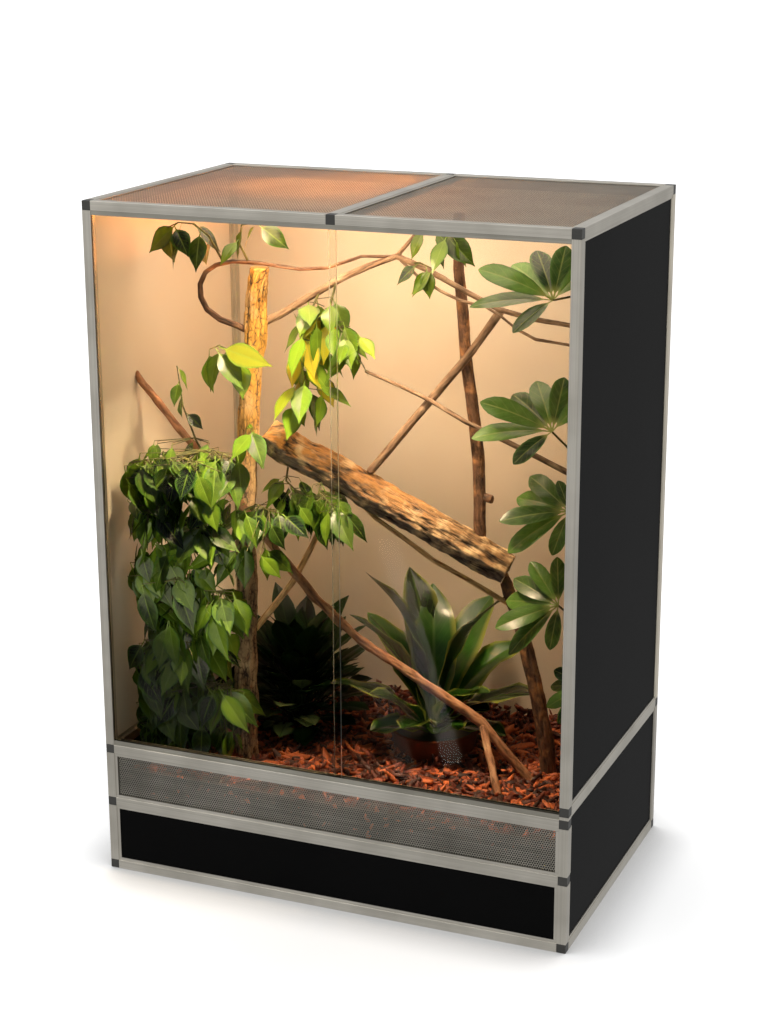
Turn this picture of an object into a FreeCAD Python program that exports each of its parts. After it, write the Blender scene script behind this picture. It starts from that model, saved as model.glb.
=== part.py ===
import FreeCAD, Part
import math
import os
from FreeCAD import Vector

# A furnished terrarium in mm: +Z up, X across the front, -Y towards the viewer.
# The origin is the middle of the base, on the surface that the case stands on.

# Case
WIDTH = 800.0
DEPTH = 500.0
HEIGHT = 1120.0
PLINTH_CLEAR = 99.0  # height of the opening that the plinth panel fills
VENT_CLEAR = 79.0  # height of the opening that the vent strip fills
POST_SPACER = 5.0  # tube between the two connectors of the front right post
DIVIDER_X = 17.0  # middle of the top cross rail and of the doors' overlap

# Square tube, with a pair of lips along each sheet that it holds
TUBE = 15.0
TUBE_WALL = 1.5
TUBE_ROUND = 0.8
LIP = 1.2
LIP_REACH = 5.0
LIP_STEP = 0.2  # from the end of the tube's rounding to the outer lip
LIP_CORNER_GAP = 0.2

# Plug-in connectors
LEG = 30.0
LEG_PLAY = 0.1
LEG_TIP_GAP = 0.4  # between two legs that meet in one short tube
CONNECTOR_ROUND = 1.0

# Sheets
PANEL = 3.0
LINER = 3.0
FLOOR = 4.0
MESH = 1.0
GROOVE_PLAY = 0.4
SHEET_EDGE_GAP = 0.5
TOP_HOLE = 17.0
TOP_HOLE_PITCH = 26.0
VENT_HOLE = 9.0
VENT_HOLE_PITCH = 14.0

# Sliding glass doors
GLASS = 4.0
GLASS_PLAY = 0.45  # between a pane and each wall of its channel
GLASS_RUN_GAP = 0.3  # under a pane
GLASS_TOP_GAP = 1.5  # over a pane; the doors go in before the front top rails
DOOR_OVERLAP = 14.0
DOOR_END_GAP = 0.5
TRACK_WALL = 1.2
TRACK_FLOOR = 1.5
TRACK_END_GAP = 0.2
LOWER_TRACK = 8.0
UPPER_TRACK = 7.0

# Bark bed
TRAY_WALL = 3.0
TRAY_GAP = 1.0  # from the floor's lips to the tray
TRAY_HEIGHT = 120.0
BARK_LEVEL = 175.0
BARK_GAP = 1.0  # from the bark over the tray to the frame around it

# Plant pot
POT_RIM_RADIUS = 75.0
POT_BASE_RADIUS = 56.0
POT_HEIGHT = 92.0
POT_WALL = 6.0
POT_SUNK = 46.0
POT_SOIL_DROP = 12.0

# Wood and leaves
STICK_SIDES = 8
TWIG_SIDES = 5
LEAF_THICKNESS = 1.0
LEAF_CLEARANCE = 3.0
LEAF_TURN = 40.0  # degrees between two tries for a leaf's place
LEAF_TRIES = 9
BLADE_STEPS = 3  # tested places along each run of a blade
GOLDEN_ANGLE = 137.5

X, Y, Z = Vector(1, 0, 0), Vector(0, 1, 0), Vector(0, 0, 1)
LEFT, RIGHT = -WIDTH / 2, WIDTH / 2
FRONT, BACK = -DEPTH / 2, DEPTH / 2
LIP_IN = TUBE_ROUND + LIP_STEP
WALL_DEPTH = LIP_IN + LIP + PANEL + LINER  # outer face of the frame to the pale lining
CLEAR_WIDTH = WIDTH - 2 * TUBE
CLEAR_DEPTH = DEPTH - 2 * TUBE
VENT_RAIL_Z = TUBE + PLINTH_CLEAR
SILL_Z = VENT_RAIL_Z + TUBE + VENT_CLEAR
DOOR_SILL_Z = SILL_Z + TUBE
RIGHT_RAIL_Z = DOOR_SILL_Z + POST_SPACER
TOP_Z = HEIGHT - TUBE
FLOOR_TOP = LIP_IN + LIP + FLOOR

nodes = {}


def box(low, high):
    """A box from its lowest to its highest corner."""
    size = high - low
    return Part.makeBox(size.x, size.y, size.z, low)


def spanned(one, other):
    """A box between any two opposite corners."""
    low = Vector(min(one.x, other.x), min(one.y, other.y), min(one.z, other.z))
    high = Vector(max(one.x, other.x), max(one.y, other.y), max(one.z, other.z))
    return box(low, high)


def along(shape, axis):
    """The straight edges of a shape that run along an axis."""
    return [e for e in shape.Edges if abs(e.tangentAt(e.FirstParameter).dot(axis)) > 0.99]


class Opening:
    """A rectangle of the frame that a sheet fills, seen with its outer face towards the viewer.

    corner is its lowest corner on the outer face, across and up are the ways its width and height run,
    and inwards is the way into the case. groove is the room between its two lips.
    """

    def __init__(self, corner, across, up, inwards, width, height, groove):
        self.corner = corner
        self.across, self.up, self.inwards = across, up, inwards
        self.width, self.height = width, height
        self.groove = groove

    def point(self, u, v, d):
        return self.corner + self.across * u + self.up * v + self.inwards * d

    def block(self, u, v, d):
        """A box from its ranges across, up and inwards."""
        return spanned(self.point(u[0], v[0], d[0]), self.point(u[1], v[1], d[1]))

    def lips(self, edge, start, length):
        """Both lips of one edge, as far as a tube of that start and length runs along it."""
        upright = edge in ("start", "end")
        run = self.up if upright else self.across
        trim = LIP_REACH + LIP_CORNER_GAP if upright else 0.0
        first = (start - self.corner).dot(run)
        last = first + length
        reach = self.height if upright else self.width
        span = max(first, trim), min(last, reach - trim)
        wide = self.width if upright else self.height
        side = (0, LIP_REACH) if edge in ("start", "bottom") else (wide - LIP_REACH, wide)
        inner = LIP_IN + LIP + self.groove
        depths = (LIP_IN, LIP_IN + LIP), (inner, inner + LIP)
        if upright:
            return [self.block(side, span, d) for d in depths]
        return [self.block(span, side, d) for d in depths]

    def sheet(self, thickness, behind=0.0):
        """A plain sheet between the lips, behind the outer lip by the given distance."""
        d = LIP_IN + LIP + behind
        u = SHEET_EDGE_GAP, self.width - SHEET_EDGE_GAP
        v = SHEET_EDGE_GAP, self.height - SHEET_EDGE_GAP
        return self.block(u, v, (d, d + thickness))

    def holed_sheet(self, thickness, behind, hole, pitch):
        """A sheet with staggered rows of holes, drawn coarser than the real perforation."""
        d = LIP_IN + LIP + behind
        margin = LIP_REACH + hole / 2
        low, high_u, high_v = SHEET_EDGE_GAP, self.width - SHEET_EDGE_GAP, self.height - SHEET_EDGE_GAP
        rim = [self.point(u, v, d) for u, v in ((low, low), (high_u, low), (high_u, high_v), (low, high_v))]
        wires = [Part.makePolygon(rim + rim[:1])]
        rows = int((self.height - 2 * margin) // pitch) + 1
        columns = int((self.width - 2 * margin - pitch / 2) // pitch) + 1
        first_u = (self.width - (columns - 0.5) * pitch) / 2
        first_v = (self.height - (rows - 1) * pitch) / 2
        for row in range(rows):
            for column in range(columns):
                u = first_u + (column + 0.5 * (row % 2)) * pitch
                v = first_v + row * pitch
                wires.append(Part.Wire(Part.makeCircle(hole / 2, self.point(u, v, d), self.inwards)))
        return Part.Face(wires, "Part::FaceMakerBullseye").extrude(self.inwards * thickness)


WALL_GROOVE = PANEL + LINER + GROOVE_PLAY
MESH_GROOVE = MESH + GROOVE_PLAY

LEFT_UPPER = Opening(
    Vector(LEFT, FRONT + TUBE, DOOR_SILL_Z), Y, Z, X, CLEAR_DEPTH, TOP_Z - DOOR_SILL_Z, WALL_GROOVE
)
LEFT_LOWER = Opening(Vector(LEFT, FRONT + TUBE, TUBE), Y, Z, X, CLEAR_DEPTH, SILL_Z - TUBE, WALL_GROOVE)
RIGHT_UPPER = Opening(
    Vector(RIGHT, FRONT + TUBE, RIGHT_RAIL_Z + TUBE), Y, Z, -X,
    CLEAR_DEPTH, TOP_Z - RIGHT_RAIL_Z - TUBE, WALL_GROOVE,
)
RIGHT_LOWER = Opening(
    Vector(RIGHT, FRONT + TUBE, TUBE), Y, Z, -X, CLEAR_DEPTH, RIGHT_RAIL_Z - TUBE, WALL_GROOVE
)
REAR = Opening(Vector(LEFT + TUBE, BACK, TUBE), X, Z, -Y, CLEAR_WIDTH, TOP_Z - TUBE, WALL_GROOVE)
PLINTH = Opening(
    Vector(LEFT + TUBE, FRONT, TUBE), X, Z, Y, CLEAR_WIDTH, PLINTH_CLEAR, PANEL + GROOVE_PLAY
)
VENT = Opening(
    Vector(LEFT + TUBE, FRONT, VENT_RAIL_Z + TUBE), X, Z, Y, CLEAR_WIDTH, VENT_CLEAR, MESH_GROOVE
)
BASE = Opening(Vector(LEFT + TUBE, FRONT + TUBE, 0), X, Y, Z, CLEAR_WIDTH, CLEAR_DEPTH, FLOOR + GROOVE_PLAY)
TOP_LEFT = Opening(
    Vector(LEFT + TUBE, FRONT + TUBE, HEIGHT), X, Y, -Z,
    DIVIDER_X - TUBE / 2 - LEFT - TUBE, CLEAR_DEPTH, MESH_GROOVE,
)
TOP_RIGHT = Opening(
    Vector(DIVIDER_X + TUBE / 2, FRONT + TUBE, HEIGHT), X, Y, -Z,
    RIGHT - TUBE - DIVIDER_X - TUBE / 2, CLEAR_DEPTH, MESH_GROOVE,
)


def tube(axis, start, length, *edges):
    """A square tube from its lowest corner along an axis, with the lips of the openings' edges beside it."""
    skew = Vector(1, 1, 1) - axis
    outer = box(start, start + axis * length + skew * TUBE)
    outer = outer.makeFillet(TUBE_ROUND, along(outer, axis))
    bore = box(start + skew * TUBE_WALL, start + axis * length + skew * (TUBE - TUBE_WALL))
    lips = [lip for opening, edge in edges for lip in opening.lips(edge, start, length)]
    shape = outer.cut(bore)
    return shape.fuse(lips).removeSplitter() if lips else shape


def connector(start, *legs):
    """A plastic cube from its lowest corner, with a leg for each tube given as (way, length)."""
    side = Vector(TUBE, TUBE, TUBE)
    body = box(start, start + side)
    body = body.makeFillet(CONNECTOR_ROUND, body.Edges)
    middle = start + side * 0.5
    half = TUBE / 2 - TUBE_WALL - LEG_PLAY
    shapes = []
    for way, length in legs:
        skew = Vector(1, 1, 1) - Vector(abs(way.x), abs(way.y), abs(way.z))
        shapes.append(spanned(middle - skew * half, middle + way * (TUBE / 2 + length) + skew * half))
    return body.fuse(shapes).removeSplitter()


def corner_x(side):
    """Lowest X of a post on the left (-1) or the right (1)."""
    return LEFT if side < 0 else RIGHT - TUBE


def corner_y(side):
    """Lowest Y of a post at the front (-1) or the back (1)."""
    return FRONT if side < 0 else BACK - TUBE


def frame_tubes():
    """Posts and rails between the connectors."""
    fl, fr = Vector(LEFT, FRONT, 0), Vector(RIGHT - TUBE, FRONT, 0)
    rl, rr = Vector(LEFT, BACK - TUBE, 0), Vector(RIGHT - TUBE, BACK - TUBE, 0)
    left_top, right_top = TOP_Z - DOOR_SILL_Z, TOP_Z - RIGHT_RAIL_Z - TUBE
    left_z, right_z = Z * DOOR_SILL_Z, Z * (RIGHT_RAIL_Z + TUBE)
    nodes["front_left_post"] = tube(Z, fl + left_z, left_top, (LEFT_UPPER, "start"))
    nodes["front_right_post"] = tube(Z, fr + right_z, right_top, (RIGHT_UPPER, "start"))
    nodes["rear_left_post"] = tube(Z, rl + left_z, left_top, (LEFT_UPPER, "end"), (REAR, "start"))
    nodes["rear_right_post"] = tube(Z, rr + right_z, right_top, (RIGHT_UPPER, "end"), (REAR, "end"))
    base = Z * TUBE
    vent = Z * (VENT_RAIL_Z + TUBE)
    nodes["lower_posts"] = Part.makeCompound([
        tube(Z, fl + base, PLINTH_CLEAR, (LEFT_LOWER, "start"), (PLINTH, "start")),
        tube(Z, fr + base, PLINTH_CLEAR, (RIGHT_LOWER, "start"), (PLINTH, "end")),
        tube(Z, rl + base, SILL_Z - TUBE, (LEFT_LOWER, "end"), (REAR, "start")),
        tube(Z, rr + base, RIGHT_RAIL_Z - TUBE, (RIGHT_LOWER, "end"), (REAR, "end")),
    ])
    nodes["vent_posts"] = Part.makeCompound([
        tube(Z, fl + vent, VENT_CLEAR, (LEFT_LOWER, "start"), (VENT, "start")),
        tube(Z, fr + vent, VENT_CLEAR, (RIGHT_LOWER, "start"), (VENT, "end")),
    ])
    nodes["post_spacer"] = tube(Z, fr + left_z, POST_SPACER)

    x_start, y_start = Vector(LEFT + TUBE, FRONT, 0), Vector(LEFT, FRONT + TUBE, 0)
    to_right, to_back = X * (WIDTH - TUBE), Y * (DEPTH - TUBE)
    nodes["sill_rail"] = tube(X, x_start + Z * SILL_Z, CLEAR_WIDTH, (VENT, "top"))
    nodes["vent_rail"] = tube(X, x_start + Z * VENT_RAIL_Z, CLEAR_WIDTH, (VENT, "bottom"), (PLINTH, "top"))
    nodes["left_side_rail"] = tube(
        Y, y_start + Z * SILL_Z, CLEAR_DEPTH, (LEFT_UPPER, "bottom"), (LEFT_LOWER, "top")
    )
    nodes["right_side_rail"] = tube(
        Y, y_start + to_right + Z * RIGHT_RAIL_Z, CLEAR_DEPTH, (RIGHT_UPPER, "bottom"), (RIGHT_LOWER, "top")
    )
    nodes["base_long_rails"] = Part.makeCompound([
        tube(X, x_start, CLEAR_WIDTH, (PLINTH, "bottom"), (BASE, "bottom")),
        tube(X, x_start + to_back, CLEAR_WIDTH, (REAR, "bottom"), (BASE, "top")),
    ])
    nodes["base_side_rails"] = Part.makeCompound([
        tube(Y, y_start, CLEAR_DEPTH, (LEFT_LOWER, "bottom"), (BASE, "start")),
        tube(Y, y_start + to_right, CLEAR_DEPTH, (RIGHT_LOWER, "bottom"), (BASE, "end")),
    ])
    top = Z * TOP_Z
    right_start = Vector(TOP_RIGHT.corner.x, FRONT, TOP_Z)
    nodes["front_top_rails"] = Part.makeCompound([
        tube(X, x_start + top, TOP_LEFT.width, (TOP_LEFT, "bottom")),
        tube(X, right_start, TOP_RIGHT.width, (TOP_RIGHT, "bottom")),
    ])
    nodes["rear_top_rails"] = Part.makeCompound([
        tube(X, x_start + top + to_back, TOP_LEFT.width, (TOP_LEFT, "top"), (REAR, "top")),
        tube(X, right_start + to_back, TOP_RIGHT.width, (TOP_RIGHT, "top"), (REAR, "top")),
    ])
    nodes["side_top_rails"] = Part.makeCompound([
        tube(Y, y_start + top, CLEAR_DEPTH, (TOP_LEFT, "start"), (LEFT_UPPER, "top")),
        tube(Y, y_start + top + to_right, CLEAR_DEPTH, (TOP_RIGHT, "end"), (RIGHT_UPPER, "top")),
    ])
    cross_start = Vector(DIVIDER_X - TUBE / 2, FRONT + TUBE, TOP_Z)
    nodes["top_cross_rail"] = tube(Y, cross_start, CLEAR_DEPTH, (TOP_LEFT, "end"), (TOP_RIGHT, "start"))


def connectors():
    """Black connectors where the tubes meet."""
    short = (POST_SPACER - LEG_TIP_GAP) / 2
    corners = [(sx, sy) for sx in (-1, 1) for sy in (-1, 1)]
    bottom, top = [], []
    for sx, sy in corners:
        at = Vector(corner_x(sx), corner_y(sy), 0)
        bottom.append(connector(at, (X * -sx, LEG), (Y * -sy, LEG), (Z, LEG)))
        top.append(connector(at + Z * TOP_Z, (X * -sx, LEG), (Y * -sy, LEG), (Z * -1, LEG)))
    nodes["base_corner_connectors"] = Part.makeCompound(bottom)
    nodes["top_corner_connectors"] = Part.makeCompound(top)
    nodes["top_tee_connectors"] = Part.makeCompound([
        connector(
            Vector(DIVIDER_X - TUBE / 2, corner_y(sy), TOP_Z), (X, LEG), (X * -1, LEG), (Y * -sy, LEG)
        )
        for sy in (-1, 1)
    ])
    nodes["vent_tee_connectors"] = Part.makeCompound([
        connector(Vector(corner_x(sx), FRONT, VENT_RAIL_Z), (X * -sx, LEG), (Z, LEG), (Z * -1, LEG))
        for sx in (-1, 1)
    ])
    nodes["sill_connectors"] = Part.makeCompound([
        connector(Vector(LEFT, FRONT, SILL_Z), (X, LEG), (Y, LEG), (Z, LEG), (Z * -1, LEG)),
        connector(Vector(RIGHT - TUBE, FRONT, SILL_Z), (X * -1, LEG), (Z, short), (Z * -1, LEG)),
    ])
    nodes["side_rail_connectors"] = Part.makeCompound([
        connector(Vector(LEFT, BACK - TUBE, SILL_Z), (Y * -1, LEG), (Z, LEG), (Z * -1, LEG)),
        connector(Vector(RIGHT - TUBE, FRONT, RIGHT_RAIL_Z), (Y, LEG), (Z, LEG), (Z * -1, short)),
        connector(Vector(RIGHT - TUBE, BACK - TUBE, RIGHT_RAIL_Z), (Y * -1, LEG), (Z, LEG), (Z * -1, LEG)),
    ])


def sheets():
    """Panels, linings, floor and perforated sheets in the grooves."""
    nodes["left_upper_panel"] = LEFT_UPPER.sheet(PANEL)
    nodes["left_lower_panel"] = LEFT_LOWER.sheet(PANEL)
    nodes["right_upper_panel"] = RIGHT_UPPER.sheet(PANEL)
    nodes["right_lower_panel"] = RIGHT_LOWER.sheet(PANEL)
    nodes["back_panel"] = REAR.sheet(PANEL)
    nodes["plinth_panel"] = PLINTH.sheet(PANEL)
    nodes["left_liner"] = LEFT_UPPER.sheet(LINER, PANEL)
    nodes["right_liner"] = RIGHT_UPPER.sheet(LINER, PANEL)
    nodes["back_liner"] = REAR.sheet(LINER, PANEL)
    nodes["floor_panel"] = BASE.sheet(FLOOR)
    nodes["top_mesh_left"] = TOP_LEFT.holed_sheet(MESH, GROOVE_PLAY, TOP_HOLE, TOP_HOLE_PITCH)
    nodes["top_mesh_right"] = TOP_RIGHT.holed_sheet(MESH, GROOVE_PLAY, TOP_HOLE, TOP_HOLE_PITCH)
    nodes["vent_mesh"] = VENT.holed_sheet(MESH, 0.0, VENT_HOLE, VENT_HOLE_PITCH)


def doors():
    """Two panes in a double track on the sill and under the front top rail."""
    channel = GLASS + 2 * GLASS_PLAY
    track_width = 3 * TRACK_WALL + 2 * channel
    track_y = FRONT + (TUBE - track_width) / 2
    front_y = track_y + TRACK_WALL
    rear_y = front_y + channel + TRACK_WALL
    ends = LEFT + TUBE + TRACK_END_GAP, RIGHT - TUBE - TRACK_END_GAP

    def track(low_z, high_z, open_low, open_high):
        first, last = ends
        body = box(Vector(first, track_y, low_z), Vector(last, track_y + track_width, high_z))
        slots = [
            box(Vector(first, y, open_low), Vector(last, y + channel, open_high)) for y in (front_y, rear_y)
        ]
        return body.cut(slots)

    lower_top, upper_low = DOOR_SILL_Z + LOWER_TRACK, TOP_Z - UPPER_TRACK
    nodes["lower_track"] = track(DOOR_SILL_Z, lower_top, DOOR_SILL_Z + TRACK_FLOOR, lower_top)
    nodes["upper_track"] = track(upper_low, TOP_Z, upper_low, TOP_Z - TRACK_FLOOR)
    low_z = DOOR_SILL_Z + TRACK_FLOOR + GLASS_RUN_GAP
    high_z = TOP_Z - TRACK_FLOOR - GLASS_TOP_GAP
    first_x, last_x = LEFT + TUBE + DOOR_END_GAP, RIGHT - TUBE - DOOR_END_GAP

    def pane(x0, x1, channel_y):
        low = Vector(x0, channel_y + GLASS_PLAY, low_z)
        return box(low, Vector(x1, low.y + GLASS, high_z))

    nodes["left_glass_door"] = pane(first_x, DIVIDER_X + DOOR_OVERLAP / 2, front_y)
    nodes["right_glass_door"] = pane(DIVIDER_X - DOOR_OVERLAP / 2, last_x, rear_y)


# Planting space: from lining to lining, from the front tubes to the back lining, from the bark to the top
# rails. Points in it are percents of its width from the left, of its depth from the front and of its height
# from the bark, so the fit-out follows the case.
SPACE_LOW = Vector(LEFT + WALL_DEPTH, FRONT + TUBE, BARK_LEVEL)
SPACE_HIGH = Vector(RIGHT - WALL_DEPTH, BACK - WALL_DEPTH, TOP_Z)


def place(percents):
    """A point of the planting space."""
    across, deep, high = percents
    size = SPACE_HIGH - SPACE_LOW
    return SPACE_LOW + Vector(size.x * across / 100, size.y * deep / 100, size.z * high / 100)


# Each stick: its points and its radius at the start and the end
TRUNK = [
    (23, 25.5, -6), (23.5, 25.5, 10), (24, 26, 30), (24, 26.5, 52), (25.5, 27, 66), (27, 27.5, 78),
    (28, 28, 89.5),
]
LOG = [
    (28.5, 29.5, 60.5), (35, 32.5, 57), (43, 36, 53.5), (51, 39, 49.7), (59.5, 42, 46), (68.5, 45, 41.8),
    (77.5, 47.5, 37.8),
]
RIGHT_STEM = [(86.5, 51, -6), (86, 50.8, 4), (84, 50, 14), (81.5, 49, 23), (79, 48, 31), (75.5, 46.8, 38.6)]
UPRIGHT = [
    (71.5, 46.5, 42.5), (70.5, 48.5, 56), (69.5, 49.5, 63), (67, 51.4, 74), (66, 52, 82), (65, 52.5, 89),
    (65, 52.5, 98.5),
]
UPRIGHT_STUB = [(71, 47.8, 50.6), (74, 47, 50.2)]
LEANING = [(48.3, 38, 53.2), (56.3, 42, 62), (61.4, 44.5, 67.5), (68, 48, 74.6), (75.2, 48.2, 83.2)]
THIN = [
    (48, 39, 71.8), (55.5, 40.5, 69.5), (61.6, 41.8, 67.3), (69.3, 41.5, 64.2), (76.5, 41.5, 62),
    (85, 41.5, 59.2), (101, 41.5, 53.8),
]
LONG = [
    (-1, 25.6, 70), (10.5, 23, 60.5), (17.8, 22, 54.6), (24.5, 21.2, 48.8), (31.3, 23.7, 41),
    (39.5, 27.3, 32), (48.6, 31, 24.6), (61, 35, 17.8), (73.5, 39, 11), (87, 43.5, -3),
]
LONG_FORK = [(73.9, 39.1, 10.8), (78, 30.5, 5), (83, 20.5, -2.5)]
UNDER = [(43, 36.5, 52), (50.5, 38, 46), (56, 39.8, 42.8), (62.5, 41.3, 39), (69, 44, 36), (79, 48, 31)]
FORK = [(24, 26, 23), (28.3, 30.4, 28), (32.3, 34.6, 33), (36, 37.8, 39.5), (39.5, 39.5, 46), (42, 36.5, 53)]
CREEPER = [
    (27, 27.5, 78), (23.5, 26.4, 79.3), (19.8, 25.2, 80.3), (17.2, 24.3, 81.9), (16, 23.7, 84.1),
    (16, 23.7, 86.3), (17.1, 24.2, 88.3), (19.2, 25.2, 89.6), (22.5, 26.4, 90.3), (28, 27.8, 90.2),
    (36, 31.5, 89.3), (41, 35, 89.5), (47, 40.5, 91.3), (53.6, 44.7, 91.3),
]
TOP_BRANCH = [
    (27, 27.5, 79.3), (31.7, 30.4, 81.3), (35.7, 33.6, 83.6), (42, 38.8, 87), (48, 42.3, 89.5),
    (53.6, 44.7, 91.3), (59.7, 45.5, 89.4), (68.7, 46.5, 85.7), (75.5, 44.5, 83.6), (83, 44, 82.4),
    (101, 43.8, 81),
]
TOP_SPRIG = [(53.6, 44.7, 91.3), (55.4, 44.7, 93), (58, 45, 95.7), (59.2, 45.5, 97.6)]
TOP_TWIG = [
    (54, 44.7, 91), (58.6, 43, 88.3), (63.5, 42.5, 86.2), (68, 42, 84.8), (73, 41.8, 84.2),
    (76.5, 40.5, 83), (80, 40, 81), (84, 40, 79.5), (101, 40, 78.2),
]
UMBRELLA_STEM = [(96, 50, -5), (96.3, 50.5, 20), (95.8, 50, 45), (96.3, 49.5, 70), (96, 50, 95)]
BUSH_STEM = [
    (13, 26, -5), (12.7, 22, 14.3), (12.2, 18, 28.3), (11.4, 14.7, 41.6), (10.8, 12.6, 52.7),
    (10.2, 11.5, 58),
]

STICKS = {
    "trunk": (TRUNK, (19.5, 18.0)),
    "cork_log": (LOG, (31.0, 29.0)),
    "right_stem": (RIGHT_STEM, (15.0, 11.0)),
    "upright_branch": (UPRIGHT, (11.0, 9.5)),
    "upright_stub": (UPRIGHT_STUB, (8.0, 8.0)),
    "leaning_stick": (LEANING, (7.5, 7.0)),
    "thin_branch": (THIN, (3.0, 5.5)),
    "long_branch": (LONG, (6.5, 9.0)),
    "long_fork": (LONG_FORK, (6.5, 7.5)),
    "under_twig": (UNDER, (4.0, 4.5)),
    "fork_branch": (FORK, (6.5, 4.5)),
    "creeper_loop": (CREEPER, (6.0, 2.5)),
    "top_branch": (TOP_BRANCH, (7.0, 4.0)),
    "top_sprig": (TOP_SPRIG, (4.0, 2.5)),
    "top_twig": (TOP_TWIG, (3.0, 2.5)),
    "umbrella_stem": (UMBRELLA_STEM, (6.0, 4.0)),
    "bush_stem": (BUSH_STEM, (6.0, 2.5)),
}


def radius_at(radii, share):
    return radii[0] + (radii[1] - radii[0]) * share


def skin(rings, split):
    """A closed solid over rings of points. split cuts each four-sided face in two where it isn't flat."""
    faces = []
    for one, two in zip(rings, rings[1:]):
        for i in range(len(one)):
            j = (i + 1) % len(one)
            quad = [one[i], one[j], two[j], two[i]]
            pieces = [[quad[0], quad[1], quad[2]], [quad[0], quad[2], quad[3]]] if split else [quad]
            faces += [Part.Face(Part.makePolygon(p + p[:1])) for p in pieces]
    for end in (rings[0], rings[-1]):
        faces.append(Part.Face(Part.makePolygon(end + end[:1])))
    solid = Part.Solid(Part.Shell(faces))
    return solid if solid.Volume > 0 else solid.reversed()


def square_to(direction):
    """A unit vector square to a direction."""
    other = Z if abs(direction.z) < 0.8 else X
    return direction.cross(other).normalize()


def stick(points, radii, sides=STICK_SIDES):
    """A tapered stick through points, with rings that turn with it and don't twist."""
    rings = []
    side = None
    for i, point in enumerate(points):
        before, after = points[max(i - 1, 0)], points[min(i + 1, len(points) - 1)]
        way = (after - before).normalize()
        side = square_to(way) if side is None else (side - way * side.dot(way)).normalize()
        other = way.cross(side)
        radius = radius_at(radii, i / (len(points) - 1))
        turns = [2 * math.pi * k / sides for k in range(sides)]
        rings.append([point + side * (radius * math.cos(a)) + other * (radius * math.sin(a)) for a in turns])
    return skin(rings, split=True)


def named_stick(name):
    points, radii = STICKS[name]
    return stick([place(p) for p in points], radii)


def largest(shape):
    return max(shape.Solids, key=lambda s: s.Volume)


def trimmed(shape, *hosts):
    """The main piece of a stick after it is cut to the pieces that it joins."""
    near = [h for h in hosts if h.BoundBox.intersect(shape.BoundBox)]
    return largest(shape.cut(near)) if near else shape


def woodwork():
    """Trunk, log, branches and creepers, each cut to what carries it."""
    inner = box(Vector(SPACE_LOW.x, SPACE_LOW.y, 0), SPACE_HIGH)
    trunk = named_stick("trunk")
    log = trimmed(named_stick("cork_log"), trunk)
    stem = trimmed(named_stick("right_stem"), log)
    upright = trimmed(named_stick("upright_branch"), log)
    stub = trimmed(named_stick("upright_stub"), upright)
    leaning = trimmed(named_stick("leaning_stick"), log, upright)
    thin = trimmed(largest(named_stick("thin_branch").common(inner)), leaning)
    long_branch = trimmed(largest(named_stick("long_branch").common(inner)), trunk)
    long_fork = trimmed(named_stick("long_fork"), long_branch)
    under = trimmed(named_stick("under_twig"), log, stem)
    fork = trimmed(named_stick("fork_branch"), trunk, log)
    top = trimmed(largest(named_stick("top_branch").common(inner)), trunk)
    sprig = trimmed(named_stick("top_sprig"), top)
    twig = trimmed(largest(named_stick("top_twig").common(inner)), top)
    creeper = trimmed(named_stick("creeper_loop"), trunk, top)
    nodes["trunk"] = trunk
    nodes["cork_log"] = log
    nodes["right_stem"] = stem
    nodes["upright_branch"] = Part.makeCompound([upright, stub])
    nodes["leaning_stick"] = leaning
    nodes["thin_branch"] = thin
    nodes["long_branch"] = Part.makeCompound([long_branch, long_fork])
    nodes["low_branches"] = Part.makeCompound([under, fork])
    nodes["creeper_loop"] = creeper
    nodes["top_branch"] = Part.makeCompound([top, sprig, twig])


# Leaf outlines: share of the length from the root, and share of the width there
FICUS_LEAF = ((0.0, 0.04), (0.16, 0.06), (0.45, 1.0), (0.76, 0.66), (1.0, 0.04))
UMBRELLA_LEAF = ((0.0, 0.06), (0.12, 0.08), (0.48, 0.9), (0.8, 0.95), (1.0, 0.16))
BROAD_LEAF = ((0.0, 0.16), (0.18, 0.28), (0.48, 1.0), (0.8, 0.86), (1.0, 0.06))
STALKED_LEAF = ((0.0, 0.05), (0.6, 0.06), (0.76, 1.0), (0.9, 0.7), (1.0, 0.04))


def segment_gap(point, one, two):
    """Distance from a point to the straight line between two others."""
    run = two - one
    share = max(0.0, min(1.0, (point - one).dot(run) / run.dot(run)))
    return (point - one - run * share).Length


def mix(values, share):
    """The value at a share of a list's runs, between its neighbours."""
    at = share * (len(values) - 1)
    i = min(int(at), len(values) - 2)
    return values[i] + (values[i + 1] - values[i]) * (at - i)


def stick_runs():
    """Each straight run of the sticks: its ends, and the distance that leaves keep from its middle line."""
    runs = []
    for route, radii in STICKS.values():
        spots = [place(spot) for spot in route]
        runs += [(a, b, max(radii) + LEAF_CLEARANCE) for a, b in zip(spots, spots[1:])]
    return runs


STICK_RUNS = stick_runs()


def is_free(points):
    """Is each point in the planting space and clear of all sticks?"""
    low, high = SPACE_LOW + Vector(1, 1, 1) * LEAF_CLEARANCE, SPACE_HIGH - Vector(1, 1, 1) * LEAF_CLEARANCE
    for p in points:
        if not (low.x < p.x < high.x and low.y < p.y < high.y and low.z < p.z < high.z):
            return False
        if any(segment_gap(p, a, b) < reach for a, b, reach in STICK_RUNS):
            return False
    return True


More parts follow.
